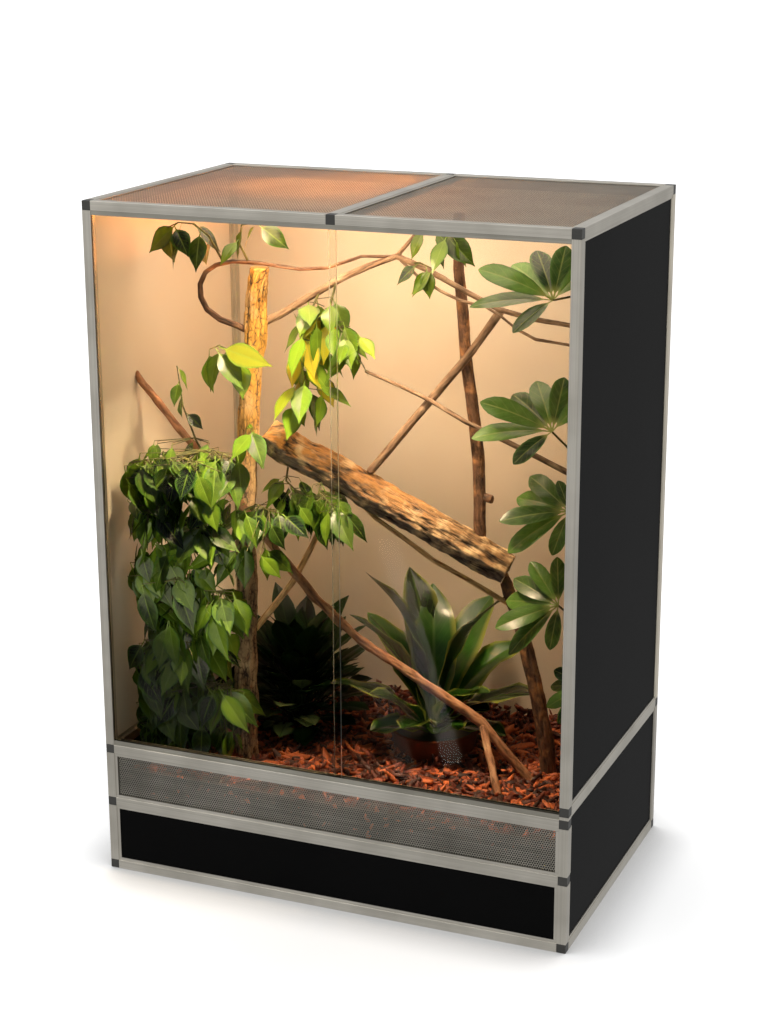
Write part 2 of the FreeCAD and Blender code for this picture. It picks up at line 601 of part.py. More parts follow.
class Leaf:
    """A thin blade from a root along a direction, its upper face towards facing; more curl bends the tip."""

    def __init__(self, root, direction, facing, length, width, bend, outline, curl=2):
        way = Vector(direction).normalize()
        self.normal = (facing - way * facing.dot(way)).normalize()
        self.side = way.cross(self.normal)
        self.outline = outline
        self.width = width
        self.spine = [root + way * (length * s) - self.normal * (bend * length * s**curl) for s, _ in outline]

    def spots(self):
        """Points on the blade that have to be free, from the end of its stalk on."""
        marks = []
        last = len(self.spine) - 1
        for step in range(BLADE_STEPS, last * BLADE_STEPS + 1):
            share = step / (last * BLADE_STEPS)
            reach = self.side * (self.width * mix([part for _, part in self.outline], share) / 2)
            point = mix(self.spine, share)
            marks += [point - reach, point, point + reach]
        return marks

    def solid(self):
        rings = []
        thick = self.normal * (LEAF_THICKNESS / 2)
        for point, (_, share) in zip(self.spine, self.outline):
            reach = self.side * (self.width * share / 2)
            start, end = point - reach, point + reach
            rings.append([start - thick, end - thick, end + thick, start + thick])
        return skin(rings, split=False)


# Ficus twigs: route, number of leaves, and their length. The leaves hang.
FICUS_TWIGS = [
    ([(20.8, 25.8, 90), (18.6, 22.5, 94.8), (16, 20.5, 96.8), (13, 19, 97), (10.5, 18.5, 96)], 6, 68),
    ([(26, 27.3, 90.1), (24.5, 25.3, 93.5), (25.5, 24, 96.8), (29, 23.5, 97.3)], 3, 54),
    ([(26, 27.3, 71.3), (25.4, 20, 75), (22, 17, 76.8), (20, 16.3, 76)], 5, 76),
    ([(39, 36.3, 85.4), (38.5, 30, 82), (37.3, 26, 77.8), (38.2, 25, 72.8), (39.6, 25, 68)], 11, 76),
    ([(42, 38.8, 87), (42.4, 31, 82.5), (45.5, 28, 80), (49, 27, 78)], 8, 72),
    ([(40, 34.5, 54.2), (41, 26, 51.5), (43, 23.5, 51), (45.5, 22.5, 49.5)], 7, 76),
    ([(33, 31.8, 57), (34, 25, 53), (36.5, 23, 52), (38, 22, 50.5)], 5, 66),
    ([(57.9, 45, 95.6), (61, 41.5, 97), (64.5, 40, 96.3), (67, 39, 95.5)], 5, 60),
    ([(57, 45.2, 90.3), (59.5, 41, 90.8), (62.7, 40, 90)], 3, 52),
    ([(17.8, 22, 54.6), (15.7, 18.5, 59.4), (13.3, 17, 65.7), (13, 16.5, 69.2), (12.4, 16.5, 72.7)], 5, 46),
    ([(24, 26.5, 54), (22.4, 19, 57.3), (19.6, 16, 58.6), (17, 14.5, 57.9)], 8, 74),
    ([(24, 26.4, 45.8), (28.5, 20, 49), (32, 18, 48.5)], 5, 72),
    ([(24.1, 26.5, 60), (27.5, 19.5, 63), (29.5, 17.5, 62.5)], 4, 70),
    ([(12.6, 21, 18), (8.6, 13, 21.6), (4.8, 8, 20.9), (3.4, 6.5, 18.5)], 9, 80),
    ([(12.2, 18, 28.3), (18.8, 12.6, 33), (24.4, 9.5, 34.5)], 9, 82),
    ([(11.9, 16.6, 34), (7, 10.5, 38), (4, 7, 37.5)], 9, 80),
    ([(11.4, 14.7, 41.6), (17.6, 10.5, 46), (22.5, 8.5, 47.3)], 9, 80),
    ([(10.8, 12.6, 52.7), (7, 9, 56.5), (4, 7.5, 56)], 8, 80),
    ([(10.8, 12.6, 52.7), (15.4, 10, 57.5), (19.8, 8.5, 57)], 8, 80),
    ([(12.7, 23, 10.6), (10.6, 14.7, 13), (7, 9.5, 12.5)], 6, 76),
    ([(12.7, 22.4, 13), (19.8, 14.7, 16), (24.4, 11, 16.3)], 7, 78),
    ([(12.5, 20, 21), (14, 12, 25), (15.5, 7.5, 24.5)], 7, 80),
    ([(11.9, 16.6, 34), (13, 9, 37), (14, 5.5, 36)], 7, 80),
    ([(11.2, 14, 46), (9.5, 7.5, 49), (8.5, 5, 48)], 7, 78),
    ([(12.9, 25, 5), (11, 18, 9), (9, 15, 9.5)], 5, 68),
]
# Single leaves: the twig's point that they grow from, their direction, their length and their width
FICUS_SINGLES = [
    ((21.5, 16.8, 76.6), (1, -0.1, -0.2), 98, 38),
    ((64.5, 40, 96.3), (1, -0.1, -0.9), 72, 36),
    ((62.7, 40, 90), (-0.9, -0.1, -0.9), 58, 26),
    ((13, 19, 97), (-0.8, -0.2, -0.7), 72, 32),
    ((29, 23.5, 97.3), (0.8, 0.1, -0.6), 64, 30),
]
FICUS_TWIG_RADII = 2.4, 1.2
FICUS_WIDTH = 0.46
FICUS_BEND = 0.16
FICUS_SPREADS = 0.4, 1.0, 0.6, 1.3  # sideways reach of leaves in turn, against 1 downwards


def hanging_leaf(root, number, length):
    """The first free hanging leaf round its root, or None where there is no room."""
    spread = FICUS_SPREADS[number % len(FICUS_SPREADS)]
    for attempt in range(LEAF_TRIES):
        turn = math.radians(GOLDEN_ANGLE * number + LEAF_TURN * attempt)
        out = Vector(math.cos(turn), math.sin(turn), 0)
        facing = out + Vector(0, -0.8, 0.35)
        leaf = Leaf(
            root, out * spread - Z, facing, length * (0.86 + 0.07 * (number % 5)),
            length * FICUS_WIDTH, FICUS_BEND, FICUS_LEAF,
        )
        if is_free(leaf.spots()):
            return leaf
    return None


def ficus():
    """The bush at the left and the twigs that climb the trunk and branches."""
    hosts = [nodes[n] for n in ("trunk", "cork_log", "top_branch", "creeper_loop", "long_branch")]
    bush = named_stick("bush_stem")
    pieces = [bush]
    number = 0
    for route, count, length in FICUS_TWIGS:
        points = [place(p) for p in route]
        pieces.append(trimmed(stick(points, FICUS_TWIG_RADII, TWIG_SIDES), bush, *hosts))
        for i in range(count):
            number += 1
            leaf = hanging_leaf(mix(points, (i + 1.5) / (count + 0.5)), number, length)
            if leaf:
                pieces.append(leaf.solid())
    for spot, way, length, width in FICUS_SINGLES:
        leaf = Leaf(place(spot), Vector(*way), Vector(0, -1, 0.5), length, width, FICUS_BEND, FICUS_LEAF)
        if is_free(leaf.spots()):
            pieces.append(leaf.solid())
    nodes["ficus"] = Part.makeCompound(pieces)


# Umbrella plant: height of each whorl's stalk on the stem, the whorl's middle, its fan's turn in degrees and
# its share of the full size
UMBRELLA_WHORLS = [
    (90, (88.2, 36, 86.6), 0, 1.0),
    (58, (88.5, 36, 64.7), 0, 0.98),
    (46, (93, 33, 51.8), 30, 0.9),
    (30, (91.5, 31, 35.6), 42, 0.86),
    (16, (97, 36, 21), 50, 0.6),
]
# Leaflets of a fan: turn from the right, length, lean to the front, and upward turn of the upper face
UMBRELLA_FAN = [
    (174, 122, 0.15, 1.7), (151, 118, 0.3, 0.7), (126, 112, -0.45, 0.2), (101, 108, -0.35, 0.1),
    (76, 98, -0.1, 0.2), (48, 86, 0.2, 0.5), (213, 82, 0.5, 1.2),
]
UMBRELLA_SHARES = 1.0, 0.8, 0.62
UMBRELLA_WIDTH = 0.36
UMBRELLA_BEND = 0.26
UMBRELLA_STALK_RADII = 2.6, 2.0
FAN_SIDE = Vector(0.92, 0.39, 0)
FAN_UP = Vector(-0.15, 0.35, 0.92)


def umbrella_plant():
    """An upright stem by the right wall, with fans of leaflets on stalks."""
    points, _ = STICKS["umbrella_stem"]
    stem = named_stick("umbrella_stem")
    pieces = [stem]
    front = FAN_SIDE.cross(FAN_UP)
    for height, middle, lean, whorl_share in UMBRELLA_WHORLS:
        hub = place(middle)
        root = place((points[0][0], points[0][1], height))
        bow = (root + hub) * 0.5 - Z * (0.12 * (hub - root).Length)
        pieces.append(trimmed(stick([root, bow, hub], UMBRELLA_STALK_RADII, TWIG_SIDES), stem))
        for turn, length, forward, upward in UMBRELLA_FAN:
            a = math.radians(turn + lean)
            way = FAN_SIDE * math.cos(a) + FAN_UP * math.sin(a) + front * forward
            for share in UMBRELLA_SHARES:
                size = length * whorl_share * share
                leaf = Leaf(
                    hub, way, front + Z * upward, size, size * UMBRELLA_WIDTH, UMBRELLA_BEND, UMBRELLA_LEAF
                )
                if is_free(leaf.spots()):
                    pieces.append(leaf.solid())
                    break
    nodes["umbrella_plant"] = Part.makeCompound(pieces)


# Broad-leaved plants: each leaf's turn about the middle, its rise above level, its length and its width
POT_MIDDLE = (59.3, 56)
POTTED_LEAVES = [
    (200, 88, 290, 64), (113, 84, 240, 64), (2, 84, 275, 64), (194, 75, 235, 62), (0, 48, 190, 58),
    (200, 46, 185, 56), (222, 30, 105, 48), (130, 82, 270, 62), (75, 70, 245, 60), (340, 52, 130, 50),
    (352, 30, 125, 46), (290, 66, 150, 50), (330, 60, 170, 54), (155, 66, 225, 60), (235, 58, 150, 52),
    (45, 60, 205, 56), (265, 44, 120, 48), (310, 44, 120, 48), (95, 50, 180, 54),
]
BROAD_BEND = 0.34
BROAD_CURL = 3
CROWN_RADIUS = 6.0
CROWN_SUNK = 3.0  # a root's start under the soil, which cuts it off


def rosette(middle, leaves, outline):
    """Broad leaves that rise from one crown and arch outwards."""
    above = box(Vector(LEFT, FRONT, middle.z), Vector(RIGHT, BACK, HEIGHT))
    pieces = []
    for turn, rise, length, width in leaves:
        for attempt in range(LEAF_TRIES):
            a, r = math.radians(turn + LEAF_TURN * attempt / 2), math.radians(rise)
            out = Vector(math.cos(a), math.sin(a), 0)
            way = out * math.cos(r) + Z * math.sin(r)
            facing = Z * math.cos(r) - out * math.sin(r)
            root = middle + out * CROWN_RADIUS - Z * CROWN_SUNK
            leaf = Leaf(root, way, facing, length, width, BROAD_BEND, outline, BROAD_CURL)
            if is_free(leaf.spots()):
                pieces.append(largest(leaf.solid().common(above)))
                break
    return pieces


def pot_profile(rim, base, low, high):
    """Half outline of a tapered pot, turned round the Z axis."""
    outline = [Vector(0, 0, low), Vector(base, 0, low), Vector(rim, 0, high), Vector(0, 0, high)]
    return Part.Face(Part.makePolygon(outline + outline[:1])).revolve(Vector(0, 0, 0), Z, 360)


def potted_plant():
    """A terracotta pot sunk in the bark, with soil and a broad-leaved plant."""
    middle = place((*POT_MIDDLE, 0))
    low = -POT_SUNK
    high = low + POT_HEIGHT
    slope = (POT_RIM_RADIUS - POT_BASE_RADIUS) / POT_HEIGHT
    cavity_base = POT_BASE_RADIUS + slope * POT_WALL - POT_WALL
    pot = pot_profile(POT_RIM_RADIUS, POT_BASE_RADIUS, low, high)
    cavity = pot_profile(POT_RIM_RADIUS - POT_WALL, cavity_base, low + POT_WALL, high)
    soil_top = high - POT_SOIL_DROP
    soil_rim = cavity_base + slope * (soil_top - low - POT_WALL)
    soil = pot_profile(soil_rim, cavity_base, low + POT_WALL, soil_top)
    nodes["plant_pot"] = pot.cut(cavity).translated(middle)
    nodes["pot_soil"] = soil.translated(middle)
    nodes["potted_plant"] = Part.makeCompound(rosette(middle + Z * soil_top, POTTED_LEAVES, BROAD_LEAF))


# Ground plant: leaves on long stalks, from the upright longest one to the slanting shortest one
GROUND_MIDDLE = (26, 59)
GROUND_COUNT = 32
GROUND_RISES = 90, 42
GROUND_LENGTHS = 245, 115
GROUND_WIDTH = 42


def ground_plant():
    """A low bush in the bark behind the trunk."""
    leaves = []
    for i in range(GROUND_COUNT):
        share = i / (GROUND_COUNT - 1)
        leaves.append((GOLDEN_ANGLE * i, mix(GROUND_RISES, share), mix(GROUND_LENGTHS, share), GROUND_WIDTH))
    crown = place((*GROUND_MIDDLE, 0))
    nodes["ground_plant"] = Part.makeCompound(rosette(crown, leaves, STALKED_LEAF))


def bark_bed():
    """A tray on the floor panel, and bark that fills it and rises over its rim."""
    out_x, out_y = WIDTH / 2 - TUBE - LIP_REACH - TRAY_GAP, DEPTH / 2 - TUBE - LIP_REACH - TRAY_GAP
    in_x, in_y = out_x - TRAY_WALL, out_y - TRAY_WALL
    rim = FLOOR_TOP + TRAY_HEIGHT
    tray = box(Vector(-out_x, -out_y, FLOOR_TOP), Vector(out_x, out_y, rim))
    hollow = box(Vector(-in_x, -in_y, FLOOR_TOP + TRAY_WALL), Vector(in_x, in_y, rim))
    over_x, over_y = WIDTH / 2 - TUBE - BARK_GAP, DEPTH / 2 - TUBE - BARK_GAP
    over = box(Vector(-over_x, -over_y, rim), Vector(over_x, over_y, BARK_LEVEL))
    planted = [nodes["trunk"], nodes["right_stem"], *nodes["long_branch"].Solids]
    planted += [named_stick("umbrella_stem"), named_stick("bush_stem")]
    middle = place((*POT_MIDDLE, 0))
    planted.append(
        pot_profile(POT_RIM_RADIUS, POT_BASE_RADIUS, -POT_SUNK, POT_HEIGHT - POT_SUNK).translated(middle)
    )
    nodes["substrate_tray"] = tray.cut(hollow)
    nodes["bark_bed"] = largest(hollow.fuse(over).removeSplitter().cut(planted))


frame_tubes()
connectors()
sheets()
doors()
woodwork()
ficus()
umbrella_plant()
potted_plant()
ground_plant()
bark_bed()

os.makedirs("parts", exist_ok=True)
for name, shape in nodes.items():
    shape.exportStep("parts/" + name + ".step")
print(len(nodes), "nodes,", sum(len(s.Solids) for s in nodes.values()), "solids")
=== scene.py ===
"""Looks of a tall furnished terrarium: an aluminium tube case with glass doors, wood, bark and plants."""

import logging
import math
import random
from collections.abc import Iterable, Sequence
from dataclasses import dataclass, field
from enum import Enum

import bmesh
import bpy
import numpy as np
from mathutils import Matrix, Vector, noise


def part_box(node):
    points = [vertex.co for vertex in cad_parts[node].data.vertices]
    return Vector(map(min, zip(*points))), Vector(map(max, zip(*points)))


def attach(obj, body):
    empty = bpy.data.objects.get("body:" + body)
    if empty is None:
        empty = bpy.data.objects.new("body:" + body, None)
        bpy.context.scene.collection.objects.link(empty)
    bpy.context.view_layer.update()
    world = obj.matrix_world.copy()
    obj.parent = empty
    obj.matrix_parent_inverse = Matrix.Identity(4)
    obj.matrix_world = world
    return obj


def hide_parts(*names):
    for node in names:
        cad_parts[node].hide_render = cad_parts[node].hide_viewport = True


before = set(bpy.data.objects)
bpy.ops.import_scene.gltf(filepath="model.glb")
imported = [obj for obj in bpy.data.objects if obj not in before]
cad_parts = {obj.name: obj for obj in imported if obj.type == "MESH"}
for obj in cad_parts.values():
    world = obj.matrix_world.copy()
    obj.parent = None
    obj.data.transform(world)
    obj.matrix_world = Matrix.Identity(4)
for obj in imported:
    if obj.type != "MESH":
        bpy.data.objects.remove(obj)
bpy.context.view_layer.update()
LOG = logging.getLogger("terrarium")
MM = 0.001
CASE = "case"
SEED = 20
TURN = 6.28  # a full turn, as far as a random one is drawn

Color = tuple[float, float, float, float]
Face = tuple[int, ...]
Spot = tuple[float, float, float]
Tree = bpy.types.NodeTree


class Axis(Enum):
    """The way a tube was extruded or a sheet faces, as the index of its row axis."""

    X = 0
    Y = 1
    Z = 2


def linear(code: str) -> Color:
    """Turns an sRGB hex colour to linear.

    Args:
        code: A colour such as "#A0B0C0".

    Returns:
        Linear red, green and blue, and an alpha of 1.
    """
    parts = [int(code[i : i + 2], 16) / 255 for i in (1, 3, 5)]
    return (*[c / 12.92 if c <= 0.04045 else ((c + 0.055) / 1.055) ** 2.4 for c in parts], 1.0)


def wire(tree: Tree, node: bpy.types.Node, inputs: dict) -> bpy.types.Node:
    """Sets or links sockets of a node.

    Args:
        tree: The tree that holds the node.
        node: The node.
        inputs: Socket names or numbers, each with a value, or with the output or the node that feeds it.

    Returns:
        The node.
    """
    for key, value in inputs.items():
        if isinstance(value, bpy.types.Node):
            value = next(output for output in value.outputs if output.enabled)
        if isinstance(value, bpy.types.NodeSocket):
            tree.links.new(value, node.inputs[key])
        else:
            node.inputs[key].default_value = value
    return node


def add(tree: Tree, kind: str, inputs: dict | None = None, **settings: object) -> bpy.types.Node:
    """Adds a node with its settings and links.

    Args:
        tree: The tree to add to.
        kind: The node's type name, without its ShaderNode prefix.
        inputs: As in wire.
        settings: Properties of the node.

    Returns:
        The new node.
    """
    node = tree.nodes.new("ShaderNode" + kind)
    for key, value in settings.items():
        setattr(node, key, value)
    return wire(tree, node, inputs or {})


@dataclass(frozen=True)
class Finish:
    """A surface finish, whose material is made at its first use."""

    name: str
    slot: str

    def material(self) -> bpy.types.Material:
        """Makes the finish's material, or finds it where it was made before.

        Returns:
            The one material of this finish.
        """
        made = bpy.data.materials.get(self.name)
        if made is None:
            made = bpy.data.materials.new(self.name)
            made.use_nodes = True
            self.paint(made.node_tree, made.node_tree.nodes["Principled BSDF"])
        return made

    def paint(self, tree: Tree, shader: bpy.types.Node) -> None:
        """Fills the material's node tree.

        Args:
            tree: The node tree.
            shader: Its Principled node.
        """
        raise NotImplementedError


@dataclass(frozen=True)
class ExtrudedAluminium(Finish):
    """Natural anodised aluminium, extruded: a soft grey sheen with fine die lines along the tube."""

    axis: Axis = Axis.X
    light: str = "#C6C1B6"
    dark: str = "#AEA99E"
    line_mm: float = 1.4  # real die lines are finer; this shows in the render
    line_long_mm: float = 500.0
    cloud_mm: float = 71.43
    rough: tuple[float, float] = (0.36, 0.52)

    def paint(self, tree: Tree, shader: bpy.types.Node) -> None:
        """Adds die lines that run along the tube, and cloudy patches of the oxide.

        Args:
            tree: The node tree.
            shader: Its Principled node.
        """
        spot = add(tree, "TexCoord").outputs["Object"]
        scale = [1 / (self.line_mm * MM)] * 3
        scale[self.axis.value] = 1 / (self.line_long_mm * MM)
        along = add(tree, "Mapping", {"Vector": spot, "Scale": scale})
        lines = add(tree, "TexNoise", {"Vector": along, "Scale": 1.0, "Detail": 3.0})
        cloud = add(tree, "TexNoise", {"Vector": spot, "Scale": 1 / (self.cloud_mm * MM), "Detail": 2.0})
        both = add(tree, "Math", {0: lines, 1: cloud}, operation="MULTIPLY")
        tone = add(tree, "MapRange", {"Value": both, "From Min": 0.12, "From Max": 0.38})
        tint = add(tree, "Mix", {0: tone, 6: linear(self.dark), 7: linear(self.light)}, data_type="RGBA")
        rough = add(tree, "MapRange", {"Value": lines, "To Min": self.rough[0], "To Max": self.rough[1]})
        bump = add(tree, "Bump", {"Strength": 0.12, "Distance": 0.1 * MM, "Height": lines})
        wire(tree, shader, {"Base Color": tint, "Metallic": 1.0, "Roughness": rough, "Normal": bump})


@dataclass(frozen=True)
class LitGauze(ExtrudedAluminium):
    """Aluminium gauze over a lamp: its round wires pass on some of the lamp's glow."""

    through: float = 0.25

    def paint(self, tree: Tree, shader: bpy.types.Node) -> None:
        """Adds light that comes through to the plain metal.

        Args:
            tree: The node tree.
            shader: Its Principled node.
        """
        super().paint(tree, shader)
        glow = add(tree, "BsdfTranslucent", {"Color": linear(self.light)})
        both = add(tree, "MixShader", {0: self.through, 1: shader, 2: glow})
        wire(tree, tree.nodes["Material Output"], {"Surface": both})


@dataclass(frozen=True)
class GrainedSurface(Finish):
    """Moulded or pressed plastic: one colour with a fine even grain that breaks its gloss."""

    light: str = "#303034"
    dark: str = "#232327"
    grain_mm: float = 0.8
    rough: tuple[float, float] = (0.45, 0.6)
    specular: float = 0.4
    relief_mm: float = 0.05
    patch_mm: float = 200.0

    def paint(self, tree: Tree, shader: bpy.types.Node) -> None:
        """Adds the grain to colour, gloss and relief.

        Args:
            tree: The node tree.
            shader: Its Principled node.
        """
        spot = add(tree, "TexCoord").outputs["Object"]
        grain = add(tree, "TexNoise", {"Vector": spot, "Scale": 1 / (self.grain_mm * MM), "Detail": 2.0})
        patch = add(tree, "TexNoise", {"Vector": spot, "Scale": 1 / (self.patch_mm * MM), "Detail": 3.0})
        mixed = add(tree, "Math", {0: grain, 1: 0.45, 2: patch}, operation="MULTIPLY_ADD")
        tone = add(tree, "MapRange", {"Value": mixed, "From Min": 0.45, "From Max": 1.0})
        tint = add(tree, "Mix", {0: tone, 6: linear(self.dark), 7: linear(self.light)}, data_type="RGBA")
        gloss = add(tree, "MapRange", {"Value": grain, "To Min": self.rough[0], "To Max": self.rough[1]})
        bump = add(tree, "Bump", {"Strength": 0.3, "Distance": self.relief_mm * MM, "Height": grain})
        wire(tree, shader, {
            "Base Color": tint, "Roughness": gloss, "Normal": bump, "Specular IOR Level": self.specular,
        })


@dataclass(frozen=True)
class FloatGlass(Finish):
    """Clear float glass with ground side edges: sharp reflections, a faint green cast and a clear view in."""

    tint: str = "#F4FAF7"
    ior: float = 1.12  # glass has 1.5; less keeps the white studio from veiling what is in the case
    edge_rough: float = 0.7
    light_tint: str = "#9C9E9C"  # darker, so that the studio's light doesn't drown the lamps in the case

    def paint(self, tree: Tree, shader: bpy.types.Node) -> None:
        """Lets light for shadows, bounces and sheen pass straight through.

        Args:
            tree: The node tree.
            shader: Its Principled node.
        """
        facing = add(tree, "SeparateXYZ", {0: add(tree, "NewGeometry").outputs["True Normal"]})
        edge = add(tree, "Math", {0: facing.outputs["X"]}, operation="ABSOLUTE")
        ground = add(
            tree, "MapRange", {"Value": edge, "From Min": 0.5, "From Max": 0.6, "To Max": self.edge_rough}
        )
        wire(tree, shader, {
            "Base Color": linear(self.tint), "Roughness": ground, "IOR": self.ior, "Transmission Weight": 1.0,
        })
        path = add(tree, "LightPath").outputs
        sheen = add(
            tree, "Math", {0: path["Is Glossy Ray"], 1: path["Is Transmission Ray"]},
            operation="SUBTRACT", use_clamp=True,
        )
        bounce = add(tree, "Math", {0: path["Is Diffuse Ray"], 1: sheen}, operation="MAXIMUM")
        soft = add(tree, "Math", {0: path["Is Shadow Ray"], 1: bounce}, operation="MAXIMUM")
        clear = add(tree, "BsdfTransparent", {"Color": linear(self.light_tint)})
        pane = add(tree, "MixShader", {0: soft, 1: shader, 2: clear})
        wire(tree, tree.nodes["Material Output"], {"Surface": pane})


@dataclass(frozen=True)
class TreeBark(Finish):
    """Weathered bark or bare wood: ridges over dark fissures, drawn from the mesh's own ridge heights."""

    fissure: str = "#2B1C12"
    ridge: str = "#7A6048"
    patch: str = "#9A8468"
    patch_mm: float = 40.0
    fibre_mm: float = 2.2
    relief_mm: float = 0.7
    upper_tint: str = "#7A6048"
    upper_z: tuple[float, float] = (2.0, 3.0)  # metres above the floor where the upper tint takes over: bare wood, and on the trunk also painted lamp light
    stretch: float = 5.0  # length of fibres and plates against their width
    plate_mm: float = 6.0
    crack: float = 0.25
    under: str = ""  # colour of the side that faces down, where it is another

    def paint(self, tree: Tree, shader: bpy.types.Node) -> None:
        """Colours fissures, ridges, plates and weathered patches, with fine fibres over all.

        Args:
            tree: The node tree.
            shader: Its Principled node.
        """
        height = add(tree, "Attribute", attribute_name="ridge").outputs["Fac"]
        unrolled = add(tree, "Attribute", attribute_name="grain").outputs["Vector"]
        drawn = add(tree, "Mapping", {"Vector": unrolled, "Scale": (1, 1, 1 / self.stretch)})
        fibre = add(tree, "TexNoise", {
            "Vector": drawn, "Scale": 1 / (self.fibre_mm * MM), "Detail": 4.0, "Roughness": 0.6,
        })
        worn = add(tree, "TexNoise", {"Vector": unrolled, "Scale": 1 / (self.patch_mm * MM), "Detail": 3.0})
        plates = add(
            tree, "TexVoronoi", {"Vector": drawn, "Scale": 1 / (self.plate_mm * MM)}, feature="DISTANCE_TO_EDGE"
        )
        crack = add(tree, "MapRange", {"Value": plates, "From Max": 0.16, "To Min": -self.crack, "To Max": 0.0})
        rise = add(tree, "Math", {0: fibre, 1: 0.7, 2: height}, operation="MULTIPLY_ADD")
        relief = add(tree, "Math", {0: rise, 1: crack}, operation="ADD")
        tone = add(tree, "MapRange", {"Value": relief, "From Min": 0.25, "From Max": 1.0})
        rise_z = add(tree, "SeparateXYZ", {0: add(tree, "TexCoord").outputs["Object"]}).outputs["Z"]
        # Upper tint above upper_z: bare wood, and on the trunk also painted lamp light.
        bare = add(tree, "MapRange", {"Value": rise_z, "From Min": self.upper_z[0], "From Max": self.upper_z[1]})
        skin = add(tree, "Mix", {0: bare, 6: linear(self.ridge), 7: linear(self.upper_tint)}, data_type="RGBA")
        if self.under:
            lie = add(tree, "SeparateXYZ", {0: add(tree, "NewGeometry").outputs["Normal"]}).outputs["Z"]
            shaded = add(tree, "MapRange", {"Value": lie, "From Min": 0.25, "From Max": -0.2})
            skin = add(tree, "Mix", {0: shaded, 6: skin, 7: linear(self.under)}, data_type="RGBA")
        bark = add(tree, "Mix", {0: tone, 6: linear(self.fissure), 7: skin}, data_type="RGBA")
        share = add(tree, "MapRange", {"Value": worn, "From Min": 0.5, "From Max": 0.68})
        top = add(tree, "Math", {0: share, 1: tone}, operation="MULTIPLY")
        tint = add(tree, "Mix", {0: top, 6: bark, 7: linear(self.patch)}, data_type="RGBA")
        bump = add(tree, "Bump", {"Strength": 0.8, "Distance": self.relief_mm * MM, "Height": relief})
        wire(tree, shader, {"Base Color": tint, "Roughness": 0.66, "Normal": bump, "Specular IOR Level": 0.4})


@dataclass(frozen=True)
class LeafBlade(Finish):
    """A waxy live leaf: glossy green with a pale midrib and side veins, and light comes through it."""

    dark: str = "#1E3A12"
    light: str = "#4F7A22"
    # glow: the yellow of painted lamp light, on leaves near the lit spot
    glow: str = "#B7B83A"
    rib: str = "#8FA050"
    margin: str = "#4F7A22"
    veins: float = 9.0  # side veins on each half of a blade
    through: float = 0.3
    gloss: float = 0.34
    stalk_end: float = 0.19  # share of the length where the blade starts
    specular: float = 0.7
    blot_mm: float = 16.667

    def paint(self, tree: Tree, shader: bpy.types.Node) -> None:
        """Colours a blade by its tone, which carries painted lamp light, and by the place across and along it.

        Args:
            tree: The node tree.
            shader: Its Principled node.
        """
        tone, across, span = (
            add(tree, "Attribute", attribute_name=name).outputs["Fac"] for name in ("tone", "across", "span")
        )
        spot = add(tree, "TexCoord").outputs["Object"]
        blot = add(tree, "TexNoise", {"Vector": spot, "Scale": 1 / (self.blot_mm * MM), "Detail": 3.0})
        shade = add(tree, "Math", {0: blot, 1: 0.5, 2: tone}, operation="MULTIPLY_ADD")
        green = add(tree, "MapRange", {"Value": shade, "From Min": 0.3, "From Max": 1.1})
        base = add(tree, "Mix", {0: green, 6: linear(self.dark), 7: linear(self.light)}, data_type="RGBA")
        # Painted lamp light: a high tone, given only near the lit spot, turns the leaf to the glow yellow.
        lamp_lit_share = add(tree, "MapRange", {"Value": tone, "From Min": 0.8, "From Max": 0.95})
        lamp_lit_tint = add(tree, "Mix", {0: lamp_lit_share, 6: base, 7: linear(self.glow)}, data_type="RGBA")
        rim = add(tree, "MapRange", {"Value": across, "From Min": 0.7, "From Max": 1.0})
        edged = add(tree, "Mix", {0: rim, 6: lamp_lit_tint, 7: linear(self.margin)}, data_type="RGBA")
        slant = add(tree, "Math", {0: across, 1: -0.22, 2: span}, operation="MULTIPLY_ADD")
        wave = add(tree, "Math", {0: slant, 1: self.veins * 2 * math.pi}, operation="MULTIPLY")
        vein = add(tree, "Math", {0: wave}, operation="SINE")
        vein_line = add(tree, "MapRange", {"Value": vein, "From Min": 0.82, "From Max": 1.0, "To Max": 0.12})
        mid = add(tree, "MapRange", {"Value": across, "From Min": 0.1, "From Max": 0.02, "To Max": 0.45})
        stalk = add(tree, "MapRange", {
            "Value": span, "From Min": self.stalk_end + 0.07, "From Max": self.stalk_end - 0.07, "To Max": 0.8,
        })
        ribs = add(tree, "Math", {0: vein_line, 1: mid}, operation="MAXIMUM")
        lines = add(tree, "Math", {0: ribs, 1: stalk}, operation="MAXIMUM")
        tint = add(tree, "Mix", {0: lines, 6: edged, 7: linear(self.rib)}, data_type="RGBA")
        bump = add(tree, "Bump", {"Strength": 0.35, "Distance": 0.4 * MM, "Height": lines})
        wire(tree, shader, {
            "Base Color": tint, "Roughness": self.gloss, "Normal": bump, "Specular IOR Level": self.specular,
        })
        lit = add(tree, "BsdfTranslucent", {"Color": tint, "Normal": bump})
        both = add(tree, "MixShader", {0: self.through, 1: shader, 2: lit})
        wire(tree, tree.nodes["Material Output"], {"Surface": both})


